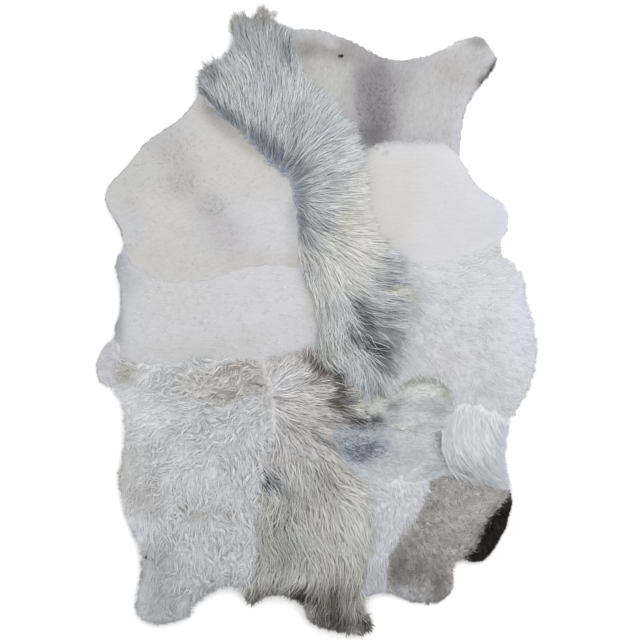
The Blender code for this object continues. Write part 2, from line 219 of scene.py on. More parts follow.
def ramp_nodes(nodes, links, value, stops):
    """A colour ramp through the stops, each a place from 0 to 1 and a colour."""
    ramp = nodes.new("ShaderNodeValToRGB")
    while len(ramp.color_ramp.elements) < len(stops):
        ramp.color_ramp.elements.new(0.5)
    for element, (place, colour) in zip(ramp.color_ramp.elements, stops):
        element.position = place
        element.color = (*colour, 1)
    links.new(value, ramp.inputs["Fac"])
    return ramp.outputs["Color"]


def bump_nodes(nodes, links, shader, height, depth):
    """Raises the surface's look by height, a value from 0 to 1, to a depth in metres."""
    bump = nodes.new("ShaderNodeBump")
    bump.inputs["Distance"].default_value = depth
    links.new(height, bump.inputs["Height"])
    links.new(bump.outputs["Normal"], shader.inputs["Normal"])


suede, nodes, links, shader = new_material("tanned_suede", 0.85, sheen=0.2)
nap = noise_nodes(nodes, links, 900, 4)
tan_patches = noise_nodes(nodes, links, 14, 3)
tans = [(0.3, (0.60, 0.50, 0.38)), (0.7, (0.72, 0.64, 0.52))]
links.new(ramp_nodes(nodes, links, tan_patches, tans), shader.inputs["Base Color"])
bump_nodes(nodes, links, shader, nap, 0.0004)

skins = {}
for skin in sorted(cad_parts):
    points, faces = cad_surface(skin)
    faces, walls = trim_locks(points, faces)
    skins[skin] = (points, faces, walls)
    back = faces[(points[faces, 2] < WELD).all(axis=1)]
    hide = make_piece(skin + "_hide", *thick_sheet(points, back, HIDE_THICK), in_plan=False)
    add_piece(hide, skin, suede)
    panel_area(points, back)

# shoulder: the big ivory skin at the upper left. Its wool is shorn to about 2 cm, dense and matt, with
# a faint grey-brown smudge that runs down it aslant. It is also where wool in general is worked out.
MAP_STEP = 0.004
MAP_MARGIN = 0.06
# For each skin: how much of the pile's height is dense wool and not the hair's loose ends, and the
# height and size of that wool's soft lumps in metres.
PILE = {
    "spine": (0.74, 0.0024, 0.035), "neck": (0.88, 0.0007, 0.040), "shoulder": (0.90, 0.0007, 0.040),
    "flank": (0.84, 0.0020, 0.028), "flap": (0.90, 0.0005, 0.030), "white_upper": (0.88, 0.0008, 0.040),
    "white_lower": (0.84, 0.0024, 0.030), "tress": (0.80, 0.0016, 0.030),
    "spotted_upper": (0.86, 0.0010, 0.025), "spotted_lower": (0.86, 0.0010, 0.025),
    "taupe": (0.88, 0.0014, 0.022), "black_edge": (0.76, 0.0010, 0.020),
    "white_strip": (0.88, 0.0010, 0.030), "beige_tail": (0.74, 0.0022, 0.030),
    "brindle": (0.76, 0.0018, 0.030), "curly": (0.80, 0.0034, 0.028),
}
TOP_LEAST_UP = 0.25  # a face that looks up by less than this is a wall
SEAM_SPREAD = 0.0012
MOST_DYE = 0.92  # no wool sends back more light than this


def face_normals(points, faces):
    """Cross products of two sides of each face made one long, and as they are, twice its area long."""
    a, b, c = points[faces].transpose(1, 0, 2)
    across = np.cross(b - a, c - a)
    return unit(across), across


def top_faces(points, faces):
    """The faces that look up."""
    return faces[face_normals(points, faces)[0][:, 2] > TOP_LEAST_UP]


def point_normals(points, faces, on_top):
    """Each point's normal: the sum of its faces' cross products, of those that look up for a top point."""
    normal, across = face_normals(points, faces)
    up = normal[:, 2] > TOP_LEAST_UP
    total = np.zeros_like(points)
    for k in range(3):
        counts = (up | ~on_top[faces[:, k]])[:, None] * across
        for axis in range(3):
            total[:, axis] += np.bincount(faces[:, k], counts[:, axis], len(points))
    return unit(total)


def blur(grid, cells):
    """Averages a grid over about that many cells, by three running means along each axis."""
    width = 2 * int(cells) + 1
    for _ in range(3):
        for axis in (0, 1):
            pad = [(0, 0), (0, 0)]
            pad[axis] = (width // 2 + 1, width // 2)
            total = np.cumsum(np.pad(grid, pad, mode="edge"), axis=axis)
            total = np.moveaxis(total, axis, 0)
            grid = np.moveaxis((total[width:] - total[:-width]) / width, 0, axis)
    return grid


map_low = np.array(cad_low[:2]) - MAP_MARGIN
map_size = np.ceil((np.array(cad_high[:2]) + MAP_MARGIN - map_low) / MAP_STEP).astype(int)
share_a, share_b = np.meshgrid(np.linspace(0, 1, 13), np.linspace(0, 1, 13))
keep = share_a + share_b <= 1.0001
share_a, share_b = share_a[keep], share_b[keep]
total, hits = np.zeros(map_size.prod()), np.zeros(map_size.prod())
own_map = {}
for skin, (points, faces, _) in skins.items():
    a, b, c = points[top_faces(points, faces)].transpose(1, 0, 2)[:, :, None]
    spread = a + (b - a) * share_a[:, None] + (c - a) * share_b[:, None]
    spread = spread.reshape(-1, 3)
    cell = ((spread[:, :2] - map_low) / MAP_STEP).astype(int)
    code = cell[:, 0] * map_size[1] + cell[:, 1]
    high = HIDE_THICK + (spread[:, 2] - HIDE_THICK) * PILE[skin][0]
    hit = np.bincount(code, minlength=map_size.prod())
    total += np.bincount(code, high, map_size.prod())
    hits += hit
    own_map[skin] = blur((hit > 0).astype(float).reshape(map_size), 1)
covered = (hits > 0).astype(float).reshape(map_size)
mean_high = np.where(hits > 0, total / np.maximum(hits, 1), 0).reshape(map_size)
# How much of the floor is covered within so many cells, from 1 on the rug to 0 well past its rim.
rug_map, near_map, rim_map, rim_wide_map = (blur(covered, cells) for cells in (1, 2, 4, 5))
# The bed is the top of the dense wool. Past the rim it keeps the rim's height and fades to the floor.
bed_map = blur(mean_high * covered, 2) / np.maximum(near_map, 1e-3)
far_map = blur(mean_high * covered, 5) / np.maximum(rim_wide_map, 1e-3)
bed_map = np.where(near_map > 0.05, bed_map, far_map)
bed_map = np.maximum(bed_map, far_map * 0.98)  # fills the valley along each seam
fade = np.clip((near_map - 0.02) / 0.5, 0, 1)
bed_map = bed_map * fade**2 * (3 - 2 * fade)
slope_x, slope_y = np.gradient(bed_map, MAP_STEP)
bed_calm = np.clip(rim_map * 4 - 3, 0, 1)  # no lumps by the rim
seam_map = {skin: own + 1 - rug_map for skin, own in own_map.items()}  # under a half past a seam only


def between(grid, at, eased=False):
    """The grid's value at each place, weighed from the four cells around it. A grid goes on as a repeat."""
    cell = np.floor(at).astype(int)
    share = at - cell
    if eased:
        share = share * share * (3 - 2 * share)
    x, y = share[..., 0], share[..., 1]
    i, j = cell[..., 0], cell[..., 1]
    values = [grid[(i + u) % len(grid), (j + v) % len(grid[0])] for u in (0, 1) for v in (0, 1)]
    low = values[0] * (1 - y) + values[1] * y
    high = values[2] * (1 - y) + values[3] * y
    return low * (1 - x) + high * x


def read_map(grid, places):
    """The map's value at each place on the rug."""
    at = (places[..., :2] - map_low) / MAP_STEP - 0.5
    return between(grid, np.clip(at, 0, np.array(grid.shape) - 1.001))


def downhill(grid, places):
    """The way in plan in which the map's value falls fastest at each place, as unit vectors."""
    spot = places[..., :2]
    steps = np.eye(2) * MAP_STEP
    return unit(np.stack([read_map(grid, spot - s) - read_map(grid, spot + s) for s in steps], -1), 1e-6)


def puffs(places, size, seed):
    """Soft lumps from -1 to 1: random values on a lattice of that size, eased between its corners."""
    lattice = np.random.default_rng(seed).uniform(-1, 1, (64, 64))
    return between(lattice, places[..., :2] / size + 32, eased=True)


# Some blots are painted shade: the shadows along a few seams and rims and in a gap between locks. A comment
# by each such skin's blots lists them.
# Each skin has a ground colour, and blots of other colours laid over it. A blot's row is its
# middle's x and y, half its length and half its width in centimetres, its red, green and blue in
# thousandths, its share in hundredths and, where it lies aslant, its turn in degrees. A comb row is a
# place in centimetres, and the way in degrees that the wool lies there. The ellipses that hair keeps
# to, or is calm in, are x, y, half the length, half the width, the turn and the share from 0 to 1.
def bell(places, x, y, long, wide, turn):
    """An ellipse's share at each place: e to the power of the distance cubed, one in its middle."""
    turn = math.radians(turn)
    dx, dy = places[..., 0] / CM - x, places[..., 1] / CM - y
    along = (dx * math.cos(turn) + dy * math.sin(turn)) / long
    across = (dy * math.cos(turn) - dx * math.sin(turn)) / wide
    return np.exp(-((along**2 + across**2) ** 1.5) * 0.9)


def most_of(places, spots):
    """The greatest share of the spots at each place, each spot an ellipse and its share."""
    found = np.zeros(places.shape[:-1])
    for *ellipse, share in spots:
        found = np.maximum(found, share * bell(places, *ellipse))
    return found


def dyed(places, ground, blots, pick=0.5, brindled=0.0):
    """The wool's colour at each place, painted shade included: the ground, with each blot laid over it in
    turn.

    Where wool is brindled, a hair takes a blot's colour whole where the blot's share is over the hair's
    own pick from 0 to 1, and else keeps the colour it had.
    """
    colour = np.broadcast_to(np.array(ground, float), (*places.shape[:-1], 3)).copy()
    for row in blots:
        x, y, long, wide, red, green, blue, share, turn = (*row, 0)[:9]
        weight = share / 100 * bell(places, x, y, long, wide, turn)
        whole = np.clip((weight - pick) * 6 + 0.5, 0, 1)
        weight = weight * (1 - brindled) + whole * brindled
        colour += weight[..., None] * (np.array([red, green, blue]) / 1000 - colour)
    return colour


def combed(places, rows, nearness=3.0):
    """The way the wool lies at each place, as unit vectors.

    Each comb row pulls by one over the square of its distance squared, eased within nearness cm.
    """
    rows = np.array(rows, float)
    turn = np.radians(rows[:, 2])
    gap = ((places[..., None, :2] / CM - rows[:, :2]) ** 2).sum(-1) + nearness**2
    weight = gap**-2
    return unit(np.stack([(weight * np.cos(turn)).sum(-1), (weight * np.sin(turn)).sum(-1)], axis=-1))


def halve(points, faces):
    """Cuts each triangle into four at the middles of its sides."""
    pairs, which = np.unique(np.sort(sides_of(faces), axis=1), axis=0, return_inverse=True)
    a, b, c = faces.T
    ab, bc, ca = which.reshape(-1, 3).T + len(points)
    quarters = [(a, ab, ca), (ab, b, bc), (ca, bc, c), (ab, bc, ca)]
    faces = np.concatenate([np.stack(corners, axis=1) for corners in quarters])
    return np.concatenate([points, points[pairs].mean(axis=1)]), faces


def bed_high(skin, places):
    """The top of a skin's dense wool at each place: the bed map's height and lumps of two sizes."""
    _, lumps, size = PILE[skin]
    fine = 0.4 * puffs(places, size * 0.37, 12)
    return read_map(bed_map, places) + lumps * (puffs(places, size, 11) + fine) * read_map(bed_calm, places)


def lightened(colour, hollow):
    """The colour to paint so that it looks like the given colour once the hollows between hairs have taken
    their share of light.
    """
    return np.clip(colour / (1 - hollow + hollow * colour.mean(axis=-1, keepdims=True)), 0, MOST_DYE)


def wool_bed(skin, ground, blots, shade, hollow, halvings):
    """The dense wool of a skin: its CAD body without locks, cut finer, with its top at the bed's height.

    Points that only the sides and the underside use keep their share of the height at their spot. The
    top's edge spreads a little over each seam, as wool does, and closes it. The top is shaded by its
    own faces' normals right up to its edge, so that no seam or rim shows as a hard line.
    """
    points, kept, walls = skins[skin]
    points, faces = one_side(points, np.concatenate([kept, walls]))
    for _ in range(halvings):
        points, faces = halve(points, faces)
    on_top = np.zeros(len(points), bool)
    on_top[top_faces(points, faces).ravel()] = True
    lower = HIDE_THICK * 0.8 + points[:, 2] * (PILE[skin][0] - 0.1)
    points[:, 2] = np.where(on_top, np.maximum(bed_high(skin, points), HIDE_THICK * 2), lower)
    by_seam = on_top & (read_map(own_map[skin], points) < 0.65) & (read_map(rug_map, points) > 0.8)
    points[by_seam, :2] += downhill(own_map[skin], points[by_seam]) * SEAM_SPREAD
    colours = lightened(dyed(points, ground, blots) * shade, hollow)
    return points, faces, colours, point_normals(points, faces, on_top)


TRIES = 12


def scatter(points, faces, count, rng, only=None):
    """Random spots on the faces, as many for each square metre everywhere, and the faces' normals.

    With only, a list of ellipses and their shares, the spots keep to them: of many times as many spots
    on the faces near them, those are kept that fall well inside.
    """
    normal, across = face_normals(points, faces)
    size = np.linalg.norm(across, axis=1)
    tries = count
    if only:
        size *= most_of(points[faces].mean(axis=1), only)
        tries = count * TRIES
    chosen = rng.choice(len(faces), tries, p=size / size.sum())
    u, v = rng.random((2, tries, 1))
    flip = u + v > 1
    u, v = np.where(flip, 1 - u, u), np.where(flip, 1 - v, v)
    a, b, c = points[faces[chosen]].transpose(1, 0, 2)
    spots = a + (b - a) * u + (c - a) * v
    if only:
        inside = most_of(spots, only) + 1e-9
        kept = rng.choice(tries, count, replace=False, p=inside / inside.sum())
        spots, chosen = spots[kept], chosen[kept]
    return spots, normal[chosen]


def gather(roots, size, rng):
    """The tuft that each root belongs to: the nearest of a jittered lattice's points.

    Returns the tuft's middle, and five random numbers from 0 to 1 that the whole tuft shares.
    """
    lattice = rng.random((128, 128, 7))
    cell = np.floor(roots[:, :2] / size).astype(int)
    nearest = np.full(len(roots), np.inf)
    middle, shared = np.zeros((len(roots), 2)), np.zeros((len(roots), 5))
    for step in np.ndindex(3, 3):
        near = cell + np.array(step) - 1
        values = lattice[near[:, 0] % 128, near[:, 1] % 128]
        spot = (near + 0.1 + 0.8 * values[:, :2]) * size
        gap = ((spot - roots[:, :2]) ** 2).sum(axis=1)
        closer = gap < nearest
        nearest = np.where(closer, gap, nearest)
        middle[closer], shared[closer] = spot[closer], values[closer, 2:]
    return middle, shared


def locks_of(paths, widths, flatness, softness):
    """Closed three-sided locks along paths of points, tapered to a point.

    Each step of a path but the last is a ring of three points: one to the left, one to the right and
    one above, by the width there. The last step is the lock's tip, and the first ring is closed.
    Returns points, triangles and normals, which are the ring's own, drawn towards the bed's by softness.
    """
    count, steps = paths.shape[:2]
    run = unit(np.gradient(paths, axis=1))
    side = unit(np.stack([run[..., 1], -run[..., 0], np.zeros(run.shape[:2])], axis=-1))
    lift = np.cross(side, run)
    half = widths[..., None] / 2
    low = lift * flatness * 0.5
    outwards = np.stack([side - low, lift * flatness, -side - low], axis=2)
    rings = (paths[:, :, None] + outwards * half[:, :, None])[:, :-1]
    slopes = read_map(slope_x, paths), read_map(slope_y, paths)
    bed_up = unit(np.stack([-slopes[0], -slopes[1], np.ones((count, steps))], axis=-1))
    softness = softness[:, None, None, None]
    facing = unit(outwards) * (1 - softness) + bed_up[:, :, None] * softness
    points = np.concatenate([rings.reshape(count, -1, 3), paths[:, -1:]], axis=1)
    facing = np.concatenate([facing[:, :-1].reshape(count, -1, 3), bed_up[:, -1:]], axis=1)
    tip = (steps - 1) * 3
    faces = [(0, 1, 2)]
    for ring in range(0, tip, 3):
        for a, b in ((ring, ring + 1), (ring + 1, ring + 2), (ring + 2, ring)):
            faces += [(b, a, tip)] if ring + 3 == tip else [(b, a, b + 3), (a, a + 3, b + 3)]
    faces = np.array(faces) + np.arange(count)[:, None, None] * (tip + 1)
    return points.reshape(-1, 3), faces.reshape(-1, 3), facing.reshape(-1, 3)


HIGHEST = cad_high.z + 0.008
FLOOR_CLEAR = 0.0012
FRIZZ = 0.0006
CALM_EDGE = 0.012  # how far a calm ellipse's edge is scattered from hair to hair, and a blot's edge
BLOT_EDGE = 0.003
RIM_TILT = 0.2  # the angle in radians at which hair on the rim's wall reaches outwards
RIM_TURN = (0.96, 0.62)  # the rim map's values where hair starts to turn outwards and has done
SWIRL_SIZE = 0.07
FINE = 5  # a path is tried at this many places for each of its steps


def leaves(grid, path):
    """The share of each path at which it leaves the area where the map's value is over a half."""
    steps = path.shape[1] - 1
    share = np.linspace(0, steps, FINE * steps + 1)
    step = np.minimum(share.astype(int), steps - 1)
    part = (share - step)[:, None]
    inside = read_map(grid, path[:, step, :2] * (1 - part) + path[:, step + 1, :2] * part) > 0.5
    inside[:, 0] = True
    first_out = np.where(inside.all(axis=1), FINE * steps + 0.5, (~inside).argmax(axis=1))
    return (first_out - 0.5) / (FINE * steps)


def grow(skin, ground, blots, comb, seed, count, length, width, dye=None, steps=3, rise=24, drop=-6,
         uneven=0.2, stray=14, fan=26, swirl=0, tuft=0.014, pull=0.6, dome=0.0, cleft=0.0, curl=0.0,
         wave=0.03, at_rim=0, rim_length=None, outward=0.8, over=0.012, past=0.010, taper=0.25,
         flatness=0.6, root_shade=0.9, tint=0.15, tuft_tint=0.03, streak=0.6, lay=0.002, sink=0.001,
         softness=0.8, hollow=0.4, brindled=0.0, calm=(), only=None):
    """One layer of a skin's hair, as points, triangles, colours and normals.

    A hair follows the comb from its tuft's middle, step by step, set off by its root's place in the
    tuft, which shrinks by pull towards the tip. The comb's way is turned by up to swirl degrees over
    about SWIRL_SIZE, by fan for each tuft and by stray for each hair. The hair leaves the bed at the
    angle rise and ends at the angle drop, and stands higher by dome in its tuft's middle. Hairs towards
    the tuft's edge are darker by cleft, as painted shade between tufts, and each hair is darker
    towards its root by root_shade, as painted shade deep in the wool. curl swings it from side to side,
    once for each wave of its length. It ends about over beyond its own skin's seam, and about past
    beyond the rug's rim. Near the rim it turns outwards, and at_rim more hairs stand on the rim's wall
    and droop to the floor. In the calm ellipses it lies closer, straighter and more even in colour.
    With dye, it has that colour all over in place of the skin's ground and blots.
    """
    if dye:
        ground, blots = dye, []
    rng = np.random.default_rng(seed)
    points, kept, walls = skins[skin]
    roots, _ = scatter(points, top_faces(points, kept), count, rng, only)
    if at_rim:
        rim_roots, rim_out = scatter(points, walls, at_rim, rng, only)
        roots = np.concatenate([roots, rim_roots])
    total = len(roots)
    lively = 1 - most_of(roots[:, :2] + CALM_EDGE * rng.standard_normal((total, 2)), calm)
    hangs = np.arange(total) >= count
    middle, shared = gather(roots, tuft, rng)
    off = roots[:, :2] - middle
    off[hangs] *= 0.3
    middle = roots[:, :2] - off
    inner = np.clip(1 - (off**2).sum(axis=1) / (0.6 * tuft) ** 2, 0, 1)
    reach = np.where(hangs, rim_length or length, length)
    reach = reach * (1 + uneven * (shared[:, 0] * 2 - 1)) * (1 + uneven * 0.6 * rng.standard_normal(total))
    reach = np.clip(reach, 0.4 * length, 1.7 * length)
    turned = np.radians(fan) * (shared[:, 1] * 2 - 1) + np.radians(stray) * rng.standard_normal(total)
    turned *= lively
    phase = shared[:, 2] * 2 * math.pi
    swing = curl * (0.6 + 0.8 * shared[:, 3]) * lively
    slope = rise * (0.75 + 0.5 * rng.random(total)) * (0.4 + 0.6 * lively)
    frizzed = FRIZZ * rng.standard_normal((total, steps + 1, 2))
    lifted = (lay * rng.random(total) + dome * inner) * lively
    along = np.linspace(0, 1, steps + 1)

    def walk(reach):
        """The paths of hairs that are so long: from each root on, a step at a time."""
        at, up = middle.copy(), np.zeros(total)
        path = np.zeros((total, steps + 1, 3))
        for step, share in enumerate(along):
            way = combed(at, comb)
            near = np.clip((RIM_TURN[0] - read_map(rim_map, at)) / (RIM_TURN[0] - RIM_TURN[1]), 0, 1)
            near = (near * outward)[:, None]
            out = downhill(rim_wide_map, at)
            if at_rim:
                out[hangs] = rim_out[:, :2]
            way = unit(way * (1 - near) + out * near)
            turn = turned + np.radians(swirl) * lively * puffs(at, SWIRL_SIZE, seed)
            way = np.stack([way[:, 0] * np.cos(turn) - way[:, 1] * np.sin(turn),
                            way[:, 0] * np.sin(turn) + way[:, 1] * np.cos(turn)], axis=1)
            aside = np.stack([-way[:, 1], way[:, 0]], axis=1)
            sway = swing * math.sqrt(share) * np.sin(2 * math.pi * reach * share / wave + phase)
            place = at + off * (1 - pull * share) + aside * sway[:, None] + frizzed[:, step] * share
            path[:, step, :2] = place
            stands = bed_high(skin, place) + up + lifted * min(share * 3, 1) - sink
            hung = roots[:, 2] * (1 - share) ** 1.3 + FLOOR_CLEAR + lifted
            path[:, step, 2] = np.where(hangs, hung, stands)
            tilt = np.where(hangs, RIM_TILT, np.radians(slope + (drop - slope) * share**0.7))
            at = at + way * (np.cos(tilt) * reach / steps)[:, None]
            up = up + np.sin(tilt) * reach / steps
        return path

    path = walk(reach)
    ragged = 0.1 + 2.0 * (0.6 * shared[:, 3] + 0.4 * rng.random(total)) ** 2
    to_seam = reach * leaves(seam_map[skin], path) + over * ragged
    to_rim = reach * leaves(rug_map, path) + past * ragged
    path = walk(np.minimum(np.minimum(reach, to_seam), to_rim))
    path[:, :, 2] = np.clip(path[:, :, 2], FLOOR_CLEAR, HIGHEST)
    thick = width * (0.75 + 0.5 * rng.random(total))[:, None] * (1 - (1 - taper) * along**1.5)
    points, faces, facing = locks_of(path, thick, flatness, 1 - (1 - softness) * (0.25 + 0.75 * lively))
    jitter = rng.standard_normal((total, 1)) * reach[:, None] * streak * 0.5
    dye_at = path[:, :, :2] + combed(middle, comb)[:, None] * jitter[..., None]
    dye_at += rng.standard_normal((total, 1, 2)) * BLOT_EDGE
    colour = dyed(dye_at, ground, blots, rng.random((total, 1)), brindled * lively[:, None])
    uneven_dye = 0.3 + 0.7 * lively
    # painted shade: each hair's colour is darkened towards its tuft's edge, as the shade between tufts; tint
    # and tuft_tint give random tone
    lights = tint * rng.standard_normal(total) + tuft_tint * (shared[:, 4] * 2 - 1) * 1.7
    lights = np.exp(lights * uneven_dye) * (1 - cleft * (1 - inner) * lively)
    # painted shade: each hair is darker towards its root, as the wool deep in the fleece lies in shade
    shaded = (1 - root_shade) * uneven_dye[:, None] * (1 - along**0.8)
    colour = colour * lights[:, None, None] * (1 - shaded)[:, :, None]
    colour = np.concatenate([np.repeat(colour[:, :-1], 3, axis=1), colour[:, -1:]], axis=1)
    return points, faces, lightened(colour.reshape(-1, 3), hollow), facing


# Three kinds of layers. Locks are the hair itself, as grow has it. Short wool is the undercoat and the
# flecks, and smooth wool the ends of the shorn and the closely combed skins.
SHORT = dict(steps=1, rise=10, drop=6, stray=30, fan=8, pull=0.4, tint=0.04, softness=0.95, hollow=0.0)
SMOOTH = dict(SHORT, rise=7, drop=4, fan=26, past=0.005, flatness=0.12, root_shade=1.0, tint=0.012,
              tuft_tint=0.01, lay=0.0004, softness=0.98)


def locks(seed, count, length, width, **own):
    """A layer's values for grow: its seed, how many hairs, their length and width in metres, its own."""
    return dict(seed=seed, count=count, length=length, width=width, **own)


def short(*sizes, **own):
    """A layer of short wool."""
    return locks(*sizes, **{**SHORT, **own})


def smooth(*sizes, **own):
    """A layer of smooth wool."""
    return locks(*sizes, **{**SMOOTH, **own})


def multiply_nodes(nodes, links, a, b):
    """One colour times another."""
    mix = nodes.new("ShaderNodeMix")
    mix.data_type = "RGBA"
    mix.blend_type = "MULTIPLY"
    mix.inputs[0].default_value = 1.0
    links.new(a, mix.inputs[6])
    links.new(b, mix.inputs[7])
    return mix.outputs[2]


def wool_finish(name, sheen, shine, grain, way, fleck, depth=None):
    """Wool or hair: its colour, painted shade included, times a grain of noise that is drawn out along the
    way it is combed.

    grain is the noise's scale, fleck the share by which it darkens, and depth raises it as fibre.
    """
    material, nodes, links, shader = new_material(name, 0.8, sheen=sheen, specular=shine)
    dye = nodes.new("ShaderNodeVertexColor")
    dye.layer_name = "dye"
    fibre = noise_nodes(nodes, links, grain, 4, (3.5, 1, 1), way)
    cloudy = noise_nodes(nodes, links, grain / 12, 3)
    dark, light = (1 - fleck,) * 3, (1 + fleck * 0.4,) * 3
    grained = ramp_nodes(nodes, links, fibre, [(0.3, dark), (0.68, light)])
    clouded = ramp_nodes(nodes, links, cloudy, [(0.35, (1 - fleck * 0.3,) * 3), (0.65, (1.0,) * 3)])
    colour = multiply_nodes(nodes, links, dye.outputs["Color"], grained)
    colour = multiply_nodes(nodes, links, colour, clouded)
    links.new(colour, shader.inputs["Base Color"])
    if depth:
        bump_nodes(nodes, links, shader, fibre, depth)
    return material


def dress(skin, ends, ground, blots, comb, hair, shade, way, grain, fleck, end_fleck, depth,
          end_grain=None, hollow=0.0, halvings=1, sheen=0.25, shine=0.2):
    """Makes a skin's bed, and its hair from the layers listed, each over the same comb or its own.

    The bed's colour is darkened by shade. way, grain, fleck and depth are the finish's, with another grain
    and fleck for the hair, whose finish is named ends.
    """
    grown = [grow(skin, ground, blots, **{"comb": comb, **layer}) for layer in hair]
    points, faces, dyes, facing = zip(*grown)
    start = np.cumsum([0] + [len(p) for p in points[:-1]])
    corners = np.concatenate([f + n for f, n in zip(faces, start)])
    coat = np.concatenate(points), corners, np.concatenate(dyes), np.concatenate(facing)
    bed = wool_bed(skin, ground, blots, shade, hollow, halvings)
    bed_finish = wool_finish(ends.rsplit("_", 1)[0] + "_bed", sheen, shine, grain, way, fleck, depth)
    end_finish = wool_finish(ends, sheen, shine, end_grain or grain, way, end_fleck)
    wool = add_piece(make_piece(skin + "_wool", *bed, in_plan=False), skin, bed_finish)
    add_piece(make_piece(skin + "_hair", *coat), skin, end_finish)


blots = [
    (-14, 27, 9, 14, 498, 498, 516, 80, 70), (-6, 36, 5, 5, 465, 470, 484, 60),
    (-22, 42, 9, 6, 490, 474, 452, 60, -30), (-44, 53, 7, 4, 409, 405, 419, 60, 40),
    (-43, 49, 5, 6, 358, 349, 344, 45, 60), (-39, 40, 6, 5, 335, 326, 316, 50, 60),
    (-31, 32, 6, 4.5, 344, 335, 335, 50, -50), (-26, 24, 7, 5.5, 391, 377, 395, 60, -50),
    (-46, 22, 6, 5, 470, 462, 430, 60), (-52, 41, 6, 6, 428, 432, 419, 60),
    (-46, 32, 7, 4, 493, 479, 465, 60, -20), (-53, 27, 4, 6, 456, 465, 493, 60, 20),
    # painted shadow: (-7, 16), (-7, 29), (-26, 55), (-18, 48.4), (-10, 42) and (-30, 59.5) are the
    # brown-grey shade beside the spine's seam
    (-20, 17, 8, 3, 437, 409, 400, 50), (-7, 16, 2.4, 8, 409, 391, 363, 60),
    (-7, 29, 1.8, 6, 350, 350, 365, 70, 5), (-26, 55, 8, 2.6, 298, 279, 260, 75, -38),
    (-18, 48.4, 6, 2.2, 353, 335, 316, 70, -38), (-10, 42, 5, 2, 419, 409, 419, 60, -38),
    (-30, 59.5, 4, 2.2, 260, 256, 260, 80, -38), (-53.5, 33.5, 2.2, 1.6, 372, 372, 363, 40),
    # painted shade: (-55, 20.5) darkens the left rim at its corner with the flank
    (-55, 20.5, 1.6, 1.2, 340, 340, 360, 70),
]
comb = [
    (-52, 40, 150), (-42, 50, 120), (-30, 50, 100), (-50, 25, 190), (-35, 30, 160), (-20, 35, 120),
    (-12, 20, 200), (-30, 15, 200), (-45, 16, 210),
]
hair = [
    smooth(1, 2500, 0.012, 0.0018, fan=30, tuft=0.01, at_rim=900, rim_length=0.012, over=0.006, past=0.004,
        tint=0.006, tuft_tint=0.004, lay=0.0003, sink=0.0006),
    short(101, 1500, 0.007, 0.0013, dye=(0.4, 0.39, 0.38), stray=45, fan=60, past=0.005, flatness=0.2,
        tint=0.08, only=[(-40, 47, 5, 7, -30, 0.8), (-38, 39, 5, 4, 0, 1), (-30, 32, 4, 4, 0, 1),
        (-26, 24, 7, 4, -60, 0.5)]),
]
dress("shoulder", "shorn_ivory_ends", (0.466, 0.461, 0.458), blots, comb, hair,
      shade=0.95, way=20, grain=130, end_grain=260, fleck=0.05, end_fleck=0.015, depth=0.0004)

# neck: the short grey skin at the top right, with a dark band across it, brown shades by its top edge,
# and the small leg at its corner, whose rim is black-brown.
blots = [
    (3, 68, 7, 8, 414, 414, 395, 80), (2, 63, 4, 4, 465, 465, 461, 50),
    (17, 58, 10, 6.2, 190, 180, 195, 95, 90), (15.6, 51.8, 5, 3.4, 120, 115, 123, 75),
    (16, 69, 6, 6, 220, 212, 225, 90, 90), (17, 72.5, 2.6, 3.2, 177, 177, 197, 50),
    (12, 66, 8, 2.2, 214, 205, 211, 60, 90), (22.8, 64, 9, 2.8, 270, 262, 262, 70, 90),
    (8.5, 60, 11, 2, 353, 344, 352, 50, 90), (6, 76.4, 12, 3.2, 250, 235, 230, 85, -8),
    (9, 78.4, 3, 1.4, 220, 210, 215, 60, -15), (-3.6, 76.4, 2.6, 2.8, 230, 215, 190, 75),
    (3.5, 78.6, 2.4, 1.2, 465, 456, 470, 70, -20), (1, 82, 9, 1.3, 428, 423, 446, 70, -12),
    (13, 76.4, 6, 2, 307, 298, 310, 70, -25), (-1, 72.6, 5, 2.4, 400, 386, 357, 70),
    (28, 73, 6, 2.2, 353, 344, 362, 60), (37, 71, 3.4, 4, 344, 321, 301, 60, 30),
    (42, 68, 4, 2, 372, 353, 343, 55, -10), (31, 60, 9, 6, 430, 425, 430, 70),
    (25.6, 69, 7, 3, 320, 312, 318, 60, 90), (38, 78.6, 3, 1.1, 600, 600, 620, 70, 20),
    (30, 52.8, 7, 2.4, 391, 386, 409, 60), (21.5, 50.8, 3, 2.2, 307, 298, 320, 60),
    (40.5, 57, 9, 1.8, 479, 474, 524, 70, 80), (46.5, 75.5, 3.4, 4.5, 381, 381, 390, 80, 20),
    (45.4, 79.2, 2.6, 1.6, 242, 233, 235, 85), (49.8, 74.4, 1.6, 2.2, 500, 490, 500, 70),
    (49.4, 71.4, 1.1, 4.4, 28, 22, 20, 97, -33), (46.6, 67.8, 1.2, 1.6, 40, 35, 33, 85, -30),
]
comb = [
    (-3, 75, 120), (8, 70, 60), (17, 70, 85), (17, 55, 80), (30, 65, 60), (40, 74, 60), (47, 76, 50),
    (45, 66, -20), (40, 56, -10), (5, 62, 40), (30, 55, 30),
]
hair = [
    smooth(2, 3600, 0.012, 0.0018, stray=26, tuft=0.01, at_rim=900, rim_length=0.014, over=0.005,
        tint=0.015, sink=0.0006, softness=0.97),
    short(102, 1900, 0.009, 0.0012, dye=(0.175, 0.167, 0.177), fan=40, past=0.006, flatness=0.2, tint=0.12,
        only=[(16.5, 60, 12, 5.5, 90, 1), (16, 53, 6, 3.6, 0, 1)]),
    short(202, 420, 0.003, 0.0022, dye=(0.011, 0.011, 0.011), drop=4, stray=90, fan=180, tuft=0.003,
        lay=0.0025, softness=0.8, only=[(6.3, 75.3, 0.5, 0.42, 0, 1)]),
]
dress("neck", "short_grey_ends", (0.415, 0.412, 0.418), blots, comb, hair, shade=0.93,
      way=80, grain=180, end_grain=240, fleck=0.1, end_fleck=0.04, depth=0.0006)

